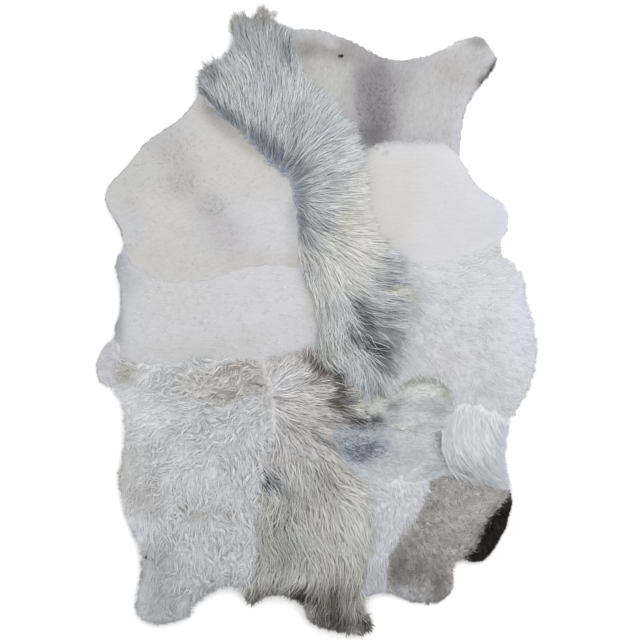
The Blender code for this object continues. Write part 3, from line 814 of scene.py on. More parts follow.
# flap: a small piece of smooth lavender-grey shorn wool, let into the left rim.
blots = [
    (-57, -13, 1.2, 5, 400, 390, 380, 60),
]
comb = [
    (-60, -12, 180), (-59, -18, 220), (-59, -6, 140),
]
hair = [
    short(3, 550, 0.012, 0.0022, rise=22, drop=15, fan=25, tuft=0.01, at_rim=260, rim_length=0.01,
        past=0.004, root_shade=0.98, tint=0.02, tuft_tint=0.015, lay=0.0006, softness=0.92, hollow=0.2),
]
dress("flap", "shorn_lavender_ends", (0.53, 0.525, 0.555), blots, comb, hair,
      shade=0.95, hollow=0.1, halvings=2, way=0, grain=260, fleck=0.05, end_fleck=0.03, depth=0.0006)

# taupe: the dense grey-brown shorn skin at the lower right, flecked darker, with a grey band by its
# lower edge.
blots = [
    (27, -67, 5, 7, 260, 245, 240, 80), (23, -71, 3, 5, 140, 130, 130, 85),
    (30, -71, 7, 4, 210, 195, 190, 80), (25, -77.4, 5.5, 1.8, 420, 430, 455, 90, -8),
    (31.5, -78, 4, 1.4, 310, 315, 320, 70, 5), (34.4, -75.5, 2.2, 3.8, 160, 155, 150, 85),
    (42, -54, 9, 5, 420, 405, 395, 80, 10), (36, -51.5, 4, 1.5, 280, 255, 235, 50, -10),
    (36, -61.5, 3, 1.5, 270, 250, 240, 50), (44.5, -63, 3, 3, 300, 280, 260, 50, 60),
    (31, -55, 1.5, 4, 220, 210, 200, 50, -25), (50.2, -54.6, 4.4, 1.1, 140, 130, 125, 60, 58),
    (46.4, -61.6, 4.4, 1.1, 130, 120, 115, 60, 66), (42.8, -66.6, 2.4, 1, 120, 110, 100, 60, 40),
    (30, -80.6, 6, 1.3, 150, 150, 155, 85, 5), (36.6, -79, 2, 1.6, 150, 145, 145, 80),
]
comb = [
    (33, -48, -120), (42, -49, -60), (40, -55, 10), (46, -54, 40), (34, -60, -30), (42, -62, 0),
    (27, -62, -110), (30, -72, -70), (36, -72, -40), (28, -78, -95),
]
hair = [
    short(104, 2600, 0.01, 0.0014, dye=(0.13, 0.12, 0.115), rise=24, drop=16, stray=50, fan=60, swirl=40,
        over=0.006, past=0.006, tint=0.35, lay=0.003, softness=0.85, hollow=0.2),
    locks(4, 6200, 0.019, 0.002, steps=1, rise=20, drop=12, stray=24, fan=50, swirl=50, tuft=0.01,
        at_rim=600, rim_length=0.016, over=0.016, past=0.008, root_shade=0.72, tint=0.2, tuft_tint=0.2,
        lay=0.0015, softness=0.82, hollow=0.35),
    locks(204, 360, 0.022, 0.0014, comb=[(48, -58, 25)], dye=(0.3, 0.29, 0.285), steps=2, rise=30, drop=-4,
        stray=24, fan=34, tuft=0.008, pull=0.7, over=0.014, past=0.004, taper=0.1, tint=0.3, lay=0.004,
        hollow=0.3, only=[(50.6, -54, 5, 1, 60, 1), (46.6, -61, 5, 1, 66, 1), (43, -65.4, 2, 0.8, 50, 0.4)]),
]
dress("taupe", "taupe_ends", (0.37, 0.355, 0.345), blots, comb, hair, shade=0.9, hollow=0.3,
      halvings=2, way=-60, grain=160, fleck=0.25, end_fleck=0.08, depth=0.0012, sheen=0.2)

# white_strip: the narrow skin of short smooth white wool between the tail and the taupe skin.
blots = [
    (16, -74, 6, 6, 440, 460, 495, 85), (24.6, -60, 6, 1, 330, 330, 340, 75, 62),
    (12.6, -71, 1.2, 4, 260, 265, 265, 75), (16, -78.2, 3, 1.6, 340, 345, 360, 95),
    (20, -71, 1, 5, 360, 360, 380, 70), (18, -62, 4, 6, 540, 570, 610, 60),
    (13.5, -47, 5, 2, 520, 515, 500, 60), (25, -50, 5, 4, 600, 610, 650, 60),
    (15.5, -58, 1.5, 6, 460, 460, 470, 40),
]
comb = [
    (14, -47, -30), (22, -49, -80), (27, -48, -60), (20, -58, -95), (18, -68, -95), (16, -77, -90),
]
hair = [
    short(5, 2700, 0.024, 0.0024, steps=2, rise=20, drop=0, stray=12, fan=18, at_rim=160, rim_length=0.012,
        past=0.002, root_shade=0.95, tint=0.03, tuft_tint=0.02, softness=0.88, hollow=0.2),
]
dress("white_strip", "short_white_ends", (0.59, 0.61, 0.645), blots, comb, hair,
      shade=0.97, hollow=0.15, halvings=2, way=-90, grain=240, fleck=0.05, end_fleck=0.03, depth=0.0008)

# white_upper: the smooth white skin at the right. Its wool is about 2.5 cm, even and lightly combed,
# yellowish towards the middle of the rug and bluish towards its rim.
blots = [
    (15, 38, 5, 11, 580, 570, 535, 85), (19.5, 25, 7, 5, 585, 575, 530, 80),
    # painted shadow: (25, 51) and (13.2, 48.6) are the grey shade along the seam with the neck skin
    (24, 45, 8, 4, 585, 581, 573, 60), (25, 51, 13, 1.6, 450, 450, 480, 85),
    (13.2, 48.6, 2.4, 2.2, 370, 370, 370, 80), (34, 34, 9, 12, 615, 615, 635, 70),
    (50, 30, 4, 9, 594, 603, 673, 80, 15), (44, 43, 4, 4, 612, 621, 664, 50, -45),
    (25, 36, 6, 12, 590, 580, 565, 80), (19.3, 47.7, 0.4, 0.3, 300, 260, 220, 50),
]
comb = [
    (15, 40, 10), (22, 28, -8), (25, 46, 60), (35, 48, 80), (40, 30, 0), (50, 30, 5), (48, 38, 40),
    (40, 20, -15), (30, 36, 10),
]
hair = [
    smooth(6, 60, 0.018, 0.0013, steps=2, stray=16, swirl=20, pull=0.25, at_rim=700, rim_length=0.022,
        tint=0.005, tuft_tint=0.004, sink=0.0006, softness=0.985),
    short(206, 500, 0.016, 0.0016, comb=[(25, 50, 85)], rise=16, stray=20, fan=30, over=0.007,
        root_shade=1.0, tint=0.01, only=[(17.5, 49.6, 5, 1.2, 20, 1), (29, 50.8, 9, 1, 0, 1)]),
]
dress("white_upper", "smooth_white_ends", (0.63, 0.63, 0.651), blots, comb, hair,
      shade=0.78, way=0, grain=150, end_grain=220, fleck=0.035, end_fleck=0.02, depth=0.0004)

# white_lower: the fuller white skin below it, of loose curls about 3.5 cm deep, whose long soft hair
# hangs over the right rim.
blots = [
    (27, 5, 3.5, 7, 440, 445, 424, 75), (26, 14, 4, 5, 501, 501, 500, 60),
    (38, -11, 9, 5, 600, 600, 620, 70), (26.5, -8, 3, 6, 483, 485, 500, 60),
    (45, 5, 8, 10, 600, 602, 625, 60), (57, -2, 4, 14, 587, 611, 696, 85, 5),
    # painted shadow: (32, -15.8) is part of the dark line along the seam with spotted_upper
    (50, -20, 8, 4, 518, 524, 571, 60), (32, -15.8, 8, 1, 460, 450, 430, 40),
    (25.6, 13, 2.6, 4.6, 620, 630, 620, 80),
]
comb = [
    (27, 12, -15), (28, 2, -25), (30, -10, -60), (37, -14, -80), (36, 8, -10), (45, 12, 10), (45, -2, -20),
    (55, 8, 0), (58, -3, -12), (57, -13, -30), (50, -20, -60), (42, -20, -80),
]
hair = [
    locks(7, 1300, 0.032, 0.0017, rise=12, drop=-4, stray=10, fan=24, swirl=32, tuft=0.018, pull=0.45,
        dome=0.0015, cleft=0.05, curl=0.0025, wave=0.034, at_rim=700, rim_length=0.04, over=0.018,
        flatness=0.25, root_shade=0.97, tint=0.018, tuft_tint=0.016, softness=0.96, hollow=0.15,
        calm=[(46, 8, 10, 8, 0, 0.7), (56, -5, 6, 22, 8, 0.9), (36, 14, 12, 4, 0, 0.5)]),
    locks(207, 60, 0.04, 0.0012, rise=14, stray=16, fan=16, tuft=0.012, pull=0.3, at_rim=700,
        rim_length=0.04, outward=0.7, past=0.011, taper=0.1, root_shade=1.0, tint=0.02, softness=0.95,
        hollow=0.3, only=[(60, -6, 6, 16, 5, 1), (56, 12, 5, 6, 0, 0.6), (57, -24, 5, 5, 0, 1)]),
    smooth(107, 700, 0.018, 0.0018, rise=8, drop=5, stray=18, fan=20, swirl=32, past=0.01, flatness=0.2,
        lay=0.0008, hollow=0.15),
]
dress("white_lower", "soft_white_locks", (0.592, 0.598, 0.625), blots, comb, hair,
      shade=0.82, way=-20, grain=170, end_grain=200, fleck=0.05, end_fleck=0.025, depth=0.0007)

# flank: the medium white wool at the middle left, combed towards the left rim, where it hangs over.
blots = [
    (-54, 3, 5, 10, 583, 610, 647, 70), (-55, 17, 3.5, 3.2, 530, 550, 600, 90),
    # painted shade: (-57.6, 1) and (-57, 14.5) darken the left rim, its shadow side; (-18, -4) is the shade
    # in a small dip
    (-57.6, 1, 2.4, 10, 330, 330, 340, 88), (-57, 14.5, 2.2, 7, 360, 360, 390, 85),
    (-18, -4, 5, 3, 550, 550, 550, 60), (-3, 8, 2.4, 7, 600, 600, 610, 60),
    (-34, -8, 14, 4, 559, 562, 555, 70), (-12, 4, 9, 8, 630, 629, 647, 60),
    (-54, 11.4, 5, 4, 460, 475, 500, 70), (-2.5, 6, 1.6, 8, 525, 514, 492, 60),
    (-54, -12.8, 3, 1.2, 239, 230, 212, 75), (-40, 6, 9, 5, 592, 590, 579, 60),
]
comb = [
    (-55, 18, 160), (-55, 5, 178), (-50, -6, 190), (-40, 8, 175), (-40, -6, 200), (-25, 10, 170),
    (-25, -5, 215), (-10, 8, 185), (-8, -4, 225),
]
hair = [
    smooth(8, 500, 0.026, 0.0016, steps=2, rise=8, drop=0, stray=14, swirl=30, tuft=0.016, at_rim=500,
        rim_length=0.03, over=0.018, flatness=0.2, tuft_tint=0.012, lay=0.0008, softness=0.97),
    smooth(108, 300, 0.016, 0.0015, stray=20, fan=22, swirl=30, past=0.01, flatness=0.2, lay=0.0006),
]
dress("flank", "white_wool_locks", (0.616, 0.614, 0.632), blots, comb, hair, shade=0.76,
      way=175, grain=170, end_grain=220, fleck=0.05, end_fleck=0.03, depth=0.0007)

# spotted_upper and spotted_lower: two short pale greenish skins, flecked with slate, the lower one with
# a dark slate spot by the whorl.
blots = [
    (15.5, -23.5, 4.5, 3, 550, 575, 510, 80), (27, -19.5, 7, 2, 570, 590, 565, 80),
    (31, -23.6, 6, 2, 380, 420, 455, 80, 3), (34, -26.2, 3.6, 2, 310, 350, 385, 80),
    (21.3, -24.2, 2.6, 1.6, 170, 190, 200, 85, 30), (24.5, -22.2, 2.5, 1, 360, 385, 385, 60, 30),
    (27, -27.4, 6, 1.8, 530, 565, 570, 70), (14.5, -28.8, 5.5, 1.7, 50, 52, 58, 100, 3),
    (13, -26.8, 1.2, 1.8, 60, 62, 66, 100, 10), (16.8, -27.4, 1.1, 1.4, 100, 105, 110, 70, -15),
    # painted shadow: (26, -17.4), (31, -17), (35.5, -18.3) and (36.6, -21.5) are the dark line along the
    # seam under white_lower
    (26, -17.4, 3, 0.9, 260, 260, 220, 85, 20), (31, -17, 4.6, 1, 250, 260, 220, 85),
    (35.5, -18.3, 3, 0.7, 260, 260, 210, 85, -40), (36.6, -21.5, 1.4, 2.6, 330, 320, 260, 70, 30),
    (18.3, -20.6, 2, 1.2, 170, 175, 170, 85, -30), (22.5, -19.3, 2, 1.4, 300, 310, 300, 70),
    (31, -29.9, 5, 0.9, 330, 380, 390, 70), (21.6, -26.6, 2.4, 2.4, 270, 310, 320, 50),
]
comb = [
    (15, -22, -60), (20, -26, 10), (30, -24, 5), (35, -20, -30), (28, -19, 40), (34, -28, -10),
]
hair = [
    short(9, 2100, 0.02, 0.002, steps=2, rise=12, drop=0, stray=16, fan=24, root_shade=0.96, streak=0.35,
        softness=0.94, hollow=0.2, brindled=0.25),
]
dress("spotted_upper", "speckled_hair", (0.565, 0.585, 0.575), blots, comb, hair,
      shade=0.95, hollow=0.15, halvings=2, way=0, grain=220, fleck=0.16, end_fleck=0.07, depth=0.001,
      sheen=0.2)
blots = [
    (13, -35, 9, 5.5, 270, 305, 360, 78, -10), (11, -38.2, 4.8, 2.4, 150, 175, 220, 75, -5),
    (15, -36.2, 3, 2, 140, 165, 210, 70, 30), (12, -33.6, 2.6, 1, 450, 490, 550, 50, 10),
    (13.4, -30, 5.4, 1.1, 110, 115, 130, 90, 3), (28, -33.5, 6, 2.2, 550, 580, 565, 80),
    (25, -38, 7, 2, 440, 480, 520, 60, 5), (34.8, -33.6, 1.8, 6.4, 230, 260, 295, 85, 6),
    (22, -44, 14, 2.2, 575, 600, 600, 90), (33.6, -42.4, 3.5, 1.8, 300, 320, 340, 80, 20),
    (27, -31.1, 8, 0.5, 200, 210, 200, 80, -4), (4.6, -35, 2.5, 3.6, 290, 305, 330, 70),
]
comb = [
    (5, -34, -30), (10, -32, 20), (12, -38, -20), (18, -34, 25), (25, -34, 0), (30, -39, 12),
    (34, -34, -70), (20, -43, -10), (10, -41, -20),
]
hair = [
    short(10, 2800, 0.022, 0.0019, steps=2, rise=14, drop=0, stray=24, fan=40, root_shade=0.93, tint=0.07,
        tuft_tint=0.05, softness=0.92, hollow=0.25, brindled=0.5),
    short(110, 900, 0.011, 0.0012, dye=(0.055, 0.07, 0.1), rise=20, drop=10, fan=50, over=0.004, past=0.004,
        tint=0.35, lay=0.003, softness=0.9, hollow=0.2, only=[(12.5, -35.8, 8, 3.4, -8, 0.9),
        (11.5, -37.6, 4, 1.8, -5, 1), (34.6, -34, 1.4, 5, 6, 0.3)]),
]
dress("spotted_lower", "spotted_hair", (0.5, 0.545, 0.57), blots, comb, hair, shade=0.95,
      hollow=0.2, halvings=2, way=0, grain=220, fleck=0.16, end_fleck=0.07, depth=0.001, sheen=0.2)

# tress: the small skin of silky white hair at the right, which parts over the taupe skin below it.
blots = [
    (50, -43, 5, 4, 410, 440, 470, 80), (52.4, -36, 2.6, 9, 420, 445, 490, 80),
    # painted shadow: (40.6, -43.4) and (47, -46.6) are the shade along the seam where the tress hangs over
    # the taupe skin
    (44, -30, 6, 5, 550, 560, 600, 60), (40.6, -43.4, 3.6, 2.2, 160, 160, 155, 92, -50),
    (47, -46.6, 6.4, 1.3, 230, 235, 235, 88, -24), (36.2, -33, 1, 5, 400, 425, 450, 70),
]
comb = [
    (44, -25, -105), (39, -28, -110), (36.5, -34, -95), (37, -39, -72), (38.5, -43, -75), (42, -35, -60),
    (41, -41, -50), (45, -31, -75), (50, -32, -65), (46, -41, -42), (51, -46, -35), (53, -38, -70),
]
hair = [
    short(11, 1400, 0.075, 0.0022, steps=4, rise=13, drop=-6, stray=5, pull=0.5, dome=0.0005, curl=0.002,
        wave=0.06, at_rim=300, rim_length=0.035, outward=0.45, past=0.007, flatness=0.4, root_shade=0.97,
        tint=0.02, tuft_tint=0.015, hollow=0.35, calm=[(45, -28, 9, 5, 0, 0.8), (51, -38, 4, 9, 0, 0.6)]),
    locks(211, 100, 0.06, 0.0014, comb=[(39, -40, -68), (43, -44, -40)], dye=(0.5, 0.51, 0.53), rise=20,
        fan=18, pull=0.5, over=0.04, taper=0.15, tint=0.08, lay=0.003, softness=0.85,
        only=[(38.2, -41, 1.6, 2.6, 0, 1), (42.5, -43.6, 2.6, 1.2, -15, 0.4)]),
    short(111, 1800, 0.03, 0.0028, drop=5, stray=8, flatness=0.3, root_shade=0.97, tint=0.02,
        tuft_tint=0.02, hollow=0.4),
]
dress("tress", "silky_white_locks", (0.5, 0.515, 0.545), blots, comb, hair, shade=0.97,
      hollow=0.4, way=-80, grain=180, fleck=0.08, end_fleck=0.04, depth=0.001)

# black_edge: the crescent of long black hair that is sewn to the taupe skin's right edge.
blots = [
    (52.5, -49.4, 3, 1.2, 100, 90, 85, 60, -30),
]
comb = [
    (52.5, -52, -30), (50, -58, -25), (47, -64, -60), (43, -68, -100), (49.5, -57, 195), (46.5, -61, 200),
    (43.5, -66, 170),
]
hair = [
    locks(12, 900, 0.026, 0.002, rise=30, drop=0, fan=18, tuft=0.011, at_rim=450, rim_length=0.022,
        over=0.003, past=0.003, root_shade=0.7, tint=0.4, tuft_tint=0.25, hollow=0.0),
    locks(112, 420, 0.026, 0.0011, comb=[(50, -58, 170)], rise=26, drop=2, stray=22, fan=40, tuft=0.008,
        pull=0.7, over=0.01, past=0.004, taper=0.1, tint=0.4, lay=0.003, hollow=0.0,
        only=[(51.8, -53.5, 5, 1.2, 55, 1), (48.4, -60, 5, 1.2, 65, 1), (44.6, -66.3, 4, 1.2, 50, 1)]),
]
dress("black_edge", "black_locks", (0.018, 0.016, 0.014), blots, comb, hair, shade=0.8,
      hollow=0.4, halvings=2, way=-45, grain=200, fleck=0.2, end_fleck=0.1, depth=0.001, sheen=0.0,
      shine=0.08)

# curly: the big off-white skin at the lower left, whose wool hangs in wavy locks about 5 cm long. Its
# left strip lies smoother, and its lower corner is darker and greyer.
blots = [
    (-29, -17.5, 11, 5, 460, 440, 400, 60, 4), (-26, -20.6, 5, 2.2, 330, 305, 260, 60, 8),
    # painted shadow: (-18.3, -17.6), (-16.6, -19) and (-13.7, -25) are the shade at the whorl and along the
    # seam with brindle
    (-18, -15, 5, 4, 370, 355, 310, 50), (-18.3, -17.6, 1.4, 1, 150, 140, 100, 70),
    (-16.6, -19, 2.6, 1.8, 260, 250, 225, 65), (-13.7, -25, 1.2, 5, 280, 270, 240, 70),
    (-24.6, -13.4, 2.6, 1.2, 300, 280, 250, 70, 20), (-16.6, -14, 1, 3, 240, 225, 190, 60, 10),
    # painted shadow: (-29, -54.2) and (-38, -53) are a faint shadow line across the skin
    (-25, -22.4, 4, 0.8, 280, 260, 220, 50, 12), (-29, -54.2, 11, 0.8, 330, 325, 300, 60, 4),
    (-38, -53, 2.4, 1, 270, 270, 240, 60, 20), (-50, -20, 6, 6, 540, 548, 566, 70),
    (-35, -36, 6, 5, 531, 533, 566, 50), (-49.5, -50, 6, 6, 370, 365, 360, 85),
    (-49.5, -59.5, 5, 2.6, 450, 485, 525, 80), (-55.5, -41, 4.4, 9, 330, 340, 325, 85),
    (-47, -70, 7.5, 7, 270, 285, 295, 88), (-45, -80, 9, 6, 260, 285, 290, 90),
    (-30, -77, 7, 4, 309, 320, 346, 80, 20), (-30, -63, 6, 6, 475, 500, 540, 50),
    (-24, -75, 4, 3, 347, 354, 366, 60), (-54.5, -15, 3, 3.4, 270, 260, 220, 85),
    (-53.4, -62.6, 1.8, 3.4, 240, 250, 270, 85), (-51.2, -71.5, 1.6, 4, 150, 150, 155, 80),
    (-42.4, -86.4, 6, 1.6, 180, 190, 200, 85), (-34.6, -81.4, 6, 1.6, 200, 210, 220, 80, 42),
    (-52.4, -79, 1.6, 5, 200, 200, 215, 80, 8), (-57.4, -42, 1.8, 8, 220, 220, 210, 80),
]
comb = [
    (-55, -18, 200), (-45, -20, 195), (-52, -30, 205), (-42, -27, 205), (-30, -24, 195), (-24, -13, 185),
    (-18, -14, 160), (-18, -25, 185), (-15, -30, -100), (-36, -34, -125), (-45, -37, -125),
    (-52, -45, -110), (-38, -45, -105), (-28, -38, -95), (-21, -38, -85), (-30, -52, -98), (-20, -55, -82),
    (-42, -58, -100), (-50, -62, -95), (-34, -66, -95), (-24, -66, -90), (-48, -75, -95), (-40, -80, -85),
    (-30, -76, -75), (-50, -82, -110),
]
hair = [
    locks(13, 5600, 0.036, 0.0022, rise=25, drop=-10, stray=8, fan=55, swirl=55, tuft=0.02, pull=0.82,
        dome=0.008, cleft=0.26, curl=0.004, wave=0.028, at_rim=800, rim_length=0.026, over=0.018,
        past=0.006, flatness=0.3, root_shade=0.92, tint=0.035, tuft_tint=0.045, streak=0.3, softness=0.94,
        hollow=0.53, calm=[(-53, -22, 8, 8, 0, 0.8), (-55, -42, 7, 12, 0, 0.85), (-53, -58, 8, 9, 0, 0.85),
        (-50, -74, 8, 13, 0, 0.9), (-38, -38, 5, 5, 0, 0.5), (-46, -27, 9, 6, 0, 0.8),
        (-34, -46, 8, 4, 0, 0.5), (-40, -82, 7, 5, 0, 0.5)]),
    short(313, 380, 0.003, 0.0026, dye=(0.02, 0.02, 0.02), drop=4, stray=90, fan=180, tuft=0.003,
        lay=0.0045, softness=0.8, only=[(-49, -67.4, 0.5, 0.5, 0, 1)]),
    # painted shade: besides the brown streaks by the whorl, these dark hairs lie along the faint shadow line
    # at y -54
    locks(213, 420, 0.03, 0.0013, dye=(0.3, 0.285, 0.25), steps=2, rise=22, fan=30, pull=0.4, curl=0.002,
        wave=0.04, over=0.006, tint=0.3, lay=0.004, softness=0.85, only=[(-21.5, -13.6, 5, 2, 16, 1),
        (-26, -21, 6, 1.4, 8, 0.8), (-35, -16, 8, 3, 0, 0.25), (-29, -54.4, 11, 0.8, 4, 0.5)]),
    short(113, 6600, 0.022, 0.0027, rise=13, drop=8, stray=22, fan=25, swirl=50, flatness=0.25,
        root_shade=0.97, tint=0.025, tuft_tint=0.02, softness=0.965, hollow=0.53),
]
dress("curly", "curly_locks", (0.495, 0.503, 0.518), blots, comb, hair, shade=0.88,
      hollow=0.5, way=-80, grain=200, fleck=0.12, end_fleck=0.05, depth=0.0014)

# brindle: the cream and dark brown skin in the middle, whose hair parts from a whorl at its left.
blots = [
    (-9, -18, 5.5, 5.5, 570, 570, 585, 90), (-5, -23, 5, 3, 560, 545, 535, 80),
    (-12, -31, 2, 6, 580, 570, 600, 85), (-4, -28, 5, 2.4, 520, 500, 480, 60, -20),
    (-2.4, -10, 2.6, 1.5, 90, 75, 60, 95, -40), (0.6, -13.4, 2.8, 2.4, 45, 36, 30, 100, -50),
    (-0.5, -17.2, 2.6, 1, 120, 100, 85, 90, -10), (5.4, -16, 3, 2, 45, 36, 30, 100, -20),
    (7.2, -19.6, 2.4, 2.2, 45, 36, 30, 100), (5.8, -23.4, 3.6, 3, 45, 36, 30, 100),
    (9.4, -22.6, 2.6, 2.4, 90, 90, 100, 95), (9, -26.8, 3.4, 1.8, 110, 105, 110, 90, -20),
    (11.6, -28.4, 4.4, 1.7, 35, 33, 36, 100), (12.8, -24, 2, 3, 520, 540, 480, 95),
    (-0.5, -24.5, 4, 2.4, 410, 360, 325, 75), (2, -20, 2.4, 1.4, 470, 430, 405, 60),
    (5, -29, 4.4, 1.2, 200, 195, 195, 80), (-1, -31.4, 4, 1.6, 500, 500, 505, 70, -15),
    (2.4, -34.6, 6.5, 1.1, 100, 100, 105, 90, -38), (-6.6, -31.4, 3, 1, 260, 250, 240, 60, -35),
    (-9.6, -25.6, 3.4, 3, 560, 550, 560, 60), (-11.6, -22.4, 3, 0.7, 240, 230, 235, 50, -38),
    (-6, -37, 6, 2.6, 450, 445, 460, 60), (2, -37.5, 3, 1.5, 460, 455, 455, 70, -30),
    # painted shadow: (-14.2, -22.5) is the dark line along the seam with curly
    (-14.2, -22.5, 0.9, 2, 160, 140, 100, 80, 20),
]
comb = [
    (-14, -17, 85), (-12, -14, 50), (-7, -13, 35), (-9, -17, 40), (-10, -20, 8), (-5, -18, 14),
    (-4, -22, -4), (1, -20, 6), (5, -22, 5), (0, -25, -8), (5, -28, -10), (-10, -24, -42), (-7, -28, -32),
    (-1, -30, -24), (4, -34, -38), (-12, -28, -72), (-9, -33, -55), (-4, -35, -45), (0, -38, -50),
    (-12, -37, -100), (-8, -38, -80), (-3, -10, 95), (2, -13, 60), (7, -17, -30),
]
hair = [
    locks(14, 2400, 0.056, 0.0024, steps=4, rise=26, drop=-8, stray=7, fan=14, swirl=14, tuft=0.015,
        dome=0.003, cleft=0.08, curl=0.0024, wave=0.045, over=0.009, root_shade=0.86, tint=0.12,
        tuft_tint=0.12, streak=0.22, hollow=0.45, brindled=0.6),
    short(114, 2200, 0.028, 0.003, rise=14, stray=10, fan=10, tint=0.08, tuft_tint=0.08, softness=0.88,
        hollow=0.45),
]
dress("brindle", "brindle_locks", (0.47, 0.46, 0.45), blots, comb, hair, shade=0.92,
      hollow=0.4, way=-25, grain=180, fleck=0.18, end_fleck=0.06, depth=0.0012, sheen=0.2)

# beige_tail: the skin of long wavy beige hair at the bottom, with slate roots at its upper left. Its
# dark brown tips hang over the bottom rim.
blots = [
    (-13, -41.5, 5, 3.5, 500, 490, 520, 85), (-13.6, -46, 2.6, 3.4, 160, 185, 220, 70, 25),
    (-12.8, -44.8, 2.2, 1.4, 80, 90, 110, 80, -50), (-8.6, -49, 4.5, 2, 140, 150, 155, 75, -35),
    (-13.5, -53.5, 3, 3, 370, 385, 330, 70), (-11, -56.2, 4.4, 2.6, 150, 155, 140, 80, 10),
    (-7, -53.6, 1.5, 3, 120, 130, 135, 70, 10), (-4.8, -51, 2.4, 1.6, 200, 190, 170, 60, -40),
    (2.4, -44.5, 3.4, 4.4, 330, 305, 280, 80), (-1.6, -52, 4, 2.4, 320, 300, 260, 60, 20),
    (0, -58.5, 4, 4.5, 520, 510, 460, 70), (-12, -67, 6, 9, 305, 310, 285, 80),
    (-9, -66, 0.9, 5, 160, 170, 165, 60, 10), (-5, -62, 2, 5, 340, 360, 365, 60, 15),
    (8.6, -66, 2.2, 4.4, 500, 520, 530, 80, 30), (4, -66, 3.4, 4, 430, 420, 425, 70),
    (8.6, -57.5, 5.4, 6, 500, 495, 475, 80), (14.8, -58, 1, 1.8, 250, 250, 245, 70),
    (13.2, -70.5, 1.2, 2.6, 230, 230, 220, 75), (10.5, -49.5, 5, 2.8, 500, 495, 480, 80, -20),
    (5, -71, 5, 2.4, 350, 345, 335, 50), (4.6, -79.6, 6, 5.4, 130, 105, 82, 92),
    (5, -86.6, 13, 5.2, 52, 43, 35, 95), (14, -87, 2.2, 3.4, 30, 25, 20, 90),
    (10.8, -88.8, 1.8, 1.8, 340, 320, 305, 85), (-4.6, -78.6, 4.4, 3.4, 12, 9, 7, 100),
    (-13, -78.2, 5, 2.4, 70, 64, 53, 90), (-8, -79, 3.6, 1.9, 25, 20, 16, 90),
    (-0.6, -80.6, 2.6, 2, 25, 20, 15, 85), (4.4, -77, 1.8, 3.2, 60, 48, 37, 88),
    (-18.4, -80.6, 3.6, 2.4, 35, 31, 26, 92), (10.4, -76, 1.8, 3.6, 120, 112, 103, 80),
    (9, -81, 2.4, 4, 200, 185, 170, 50, 20), (-2.6, -82, 1.4, 2, 360, 350, 330, 60),
    (4, -80, 1.2, 4, 60, 50, 40, 60, 10),
]
comb = [
    (-15, -42, -70), (-9, -42, -55), (-13, -47, -60), (-9, -48, -58), (-6, -44, -65), (-12, -53, -120),
    (-9, -55, -105), (-15, -58, -95), (-11, -62, -85), (-13, -70, -93), (-9, -74, -103), (-5, -57, -62),
    (-4, -64, -78), (-2, -70, -88), (0, -46, -75), (1, -54, -70), (3, -62, -82), (4, -70, -90),
    (8, -48, -28), (12, -48, -18), (13, -52, -50), (14, -58, -82), (8, -55, -62), (9, -62, -58),
    (10, -68, -62), (12, -73, -92), (5, -78, -88), (-4, -78, -85), (0, -83, -85), (7, -85, -78),
    (13, -85, -65), (-12, -78, -90), (-18, -76, -98), (-3, -84, -100),
]
hair = [
    locks(15, 3700, 0.08, 0.0024, steps=4, rise=26, drop=-8, stray=7, fan=15, swirl=26, tuft=0.018,
        dome=0.0025, cleft=0.08, curl=0.0045, wave=0.06, at_rim=400, rim_length=0.036, outward=0.6,
        over=0.016, past=0.005, root_shade=0.86, tint=0.09, tuft_tint=0.1, streak=0.25, softness=0.85,
        hollow=0.5, brindled=0.5, calm=[(9.5, -54, 6, 9, 0, 0.7), (3, -60, 6, 8, 0, 0.4),
        (6, -70, 6, 5, 0, 0.4)]),
    locks(315, 40, 0.04, 0.0018, dye=(0.04, 0.034, 0.028), rise=14, drop=-8, uneven=0.3, stray=7, fan=16,
        pull=0.75, at_rim=300, rim_length=0.036, outward=0.5, past=0.013, taper=0.1, tint=0.5,
        tuft_tint=0.3, hollow=0.3, only=[(6, -88, 12, 3, -4, 1), (-19, -79.5, 3, 2, 0, 1),
        (-7, -80, 4, 2, 0, 0.6), (14.5, -86, 2, 4, 0, 0.8)]),
    locks(415, 300, 0.04, 0.0015, dye=(0.045, 0.05, 0.055), drop=-4, stray=16, tuft=0.016, curl=0.003,
        wave=0.05, tint=0.4, lay=0.004, hollow=0.3, only=[(-13, -44.5, 3, 3, -40, 1),
        (-9, -49, 4, 1.6, -45, 0.9), (-7.5, -54, 2.4, 3.4, 10, 1), (-12, -57, 3, 1.2, 20, 0.6)]),
    locks(215, 240, 0.075, 0.0016, dye=(0.5, 0.51, 0.49), steps=4, drop=0, stray=16, tuft=0.022, pull=0.7,
        dome=0.002, curl=0.004, wave=0.08, root_shade=0.8, lay=0.005, softness=0.7,
        only=[(-10, -49, 6, 8, 0, 1), (-2, -64, 8, 6, 0, 0.3), (8, -64, 3, 6, 20, 0.8)]),
    locks(515, 260, 0.05, 0.0014, comb=[(12, -50, -25), (14, -58, -62)], dye=(0.43, 0.43, 0.42), rise=16,
        drop=-4, fan=22, curl=0.003, wave=0.06, over=0.024, taper=0.1, tint=0.12, softness=0.85,
        only=[(13, -49, 3, 4, 30, 0.8), (14.4, -60, 1.6, 9, 4, 1)]),
    short(115, 3600, 0.032, 0.003, rise=14, stray=10, fan=10, swirl=14, root_shade=0.88, tint=0.08,
        tuft_tint=0.08, softness=0.88, hollow=0.5),
]
dress("beige_tail", "long_beige_locks", (0.4, 0.4, 0.382), blots, comb, hair, shade=0.9,
      hollow=0.4, way=-90, grain=160, fleck=0.2, end_fleck=0.06, depth=0.0014, sheen=0.06, shine=0.12)

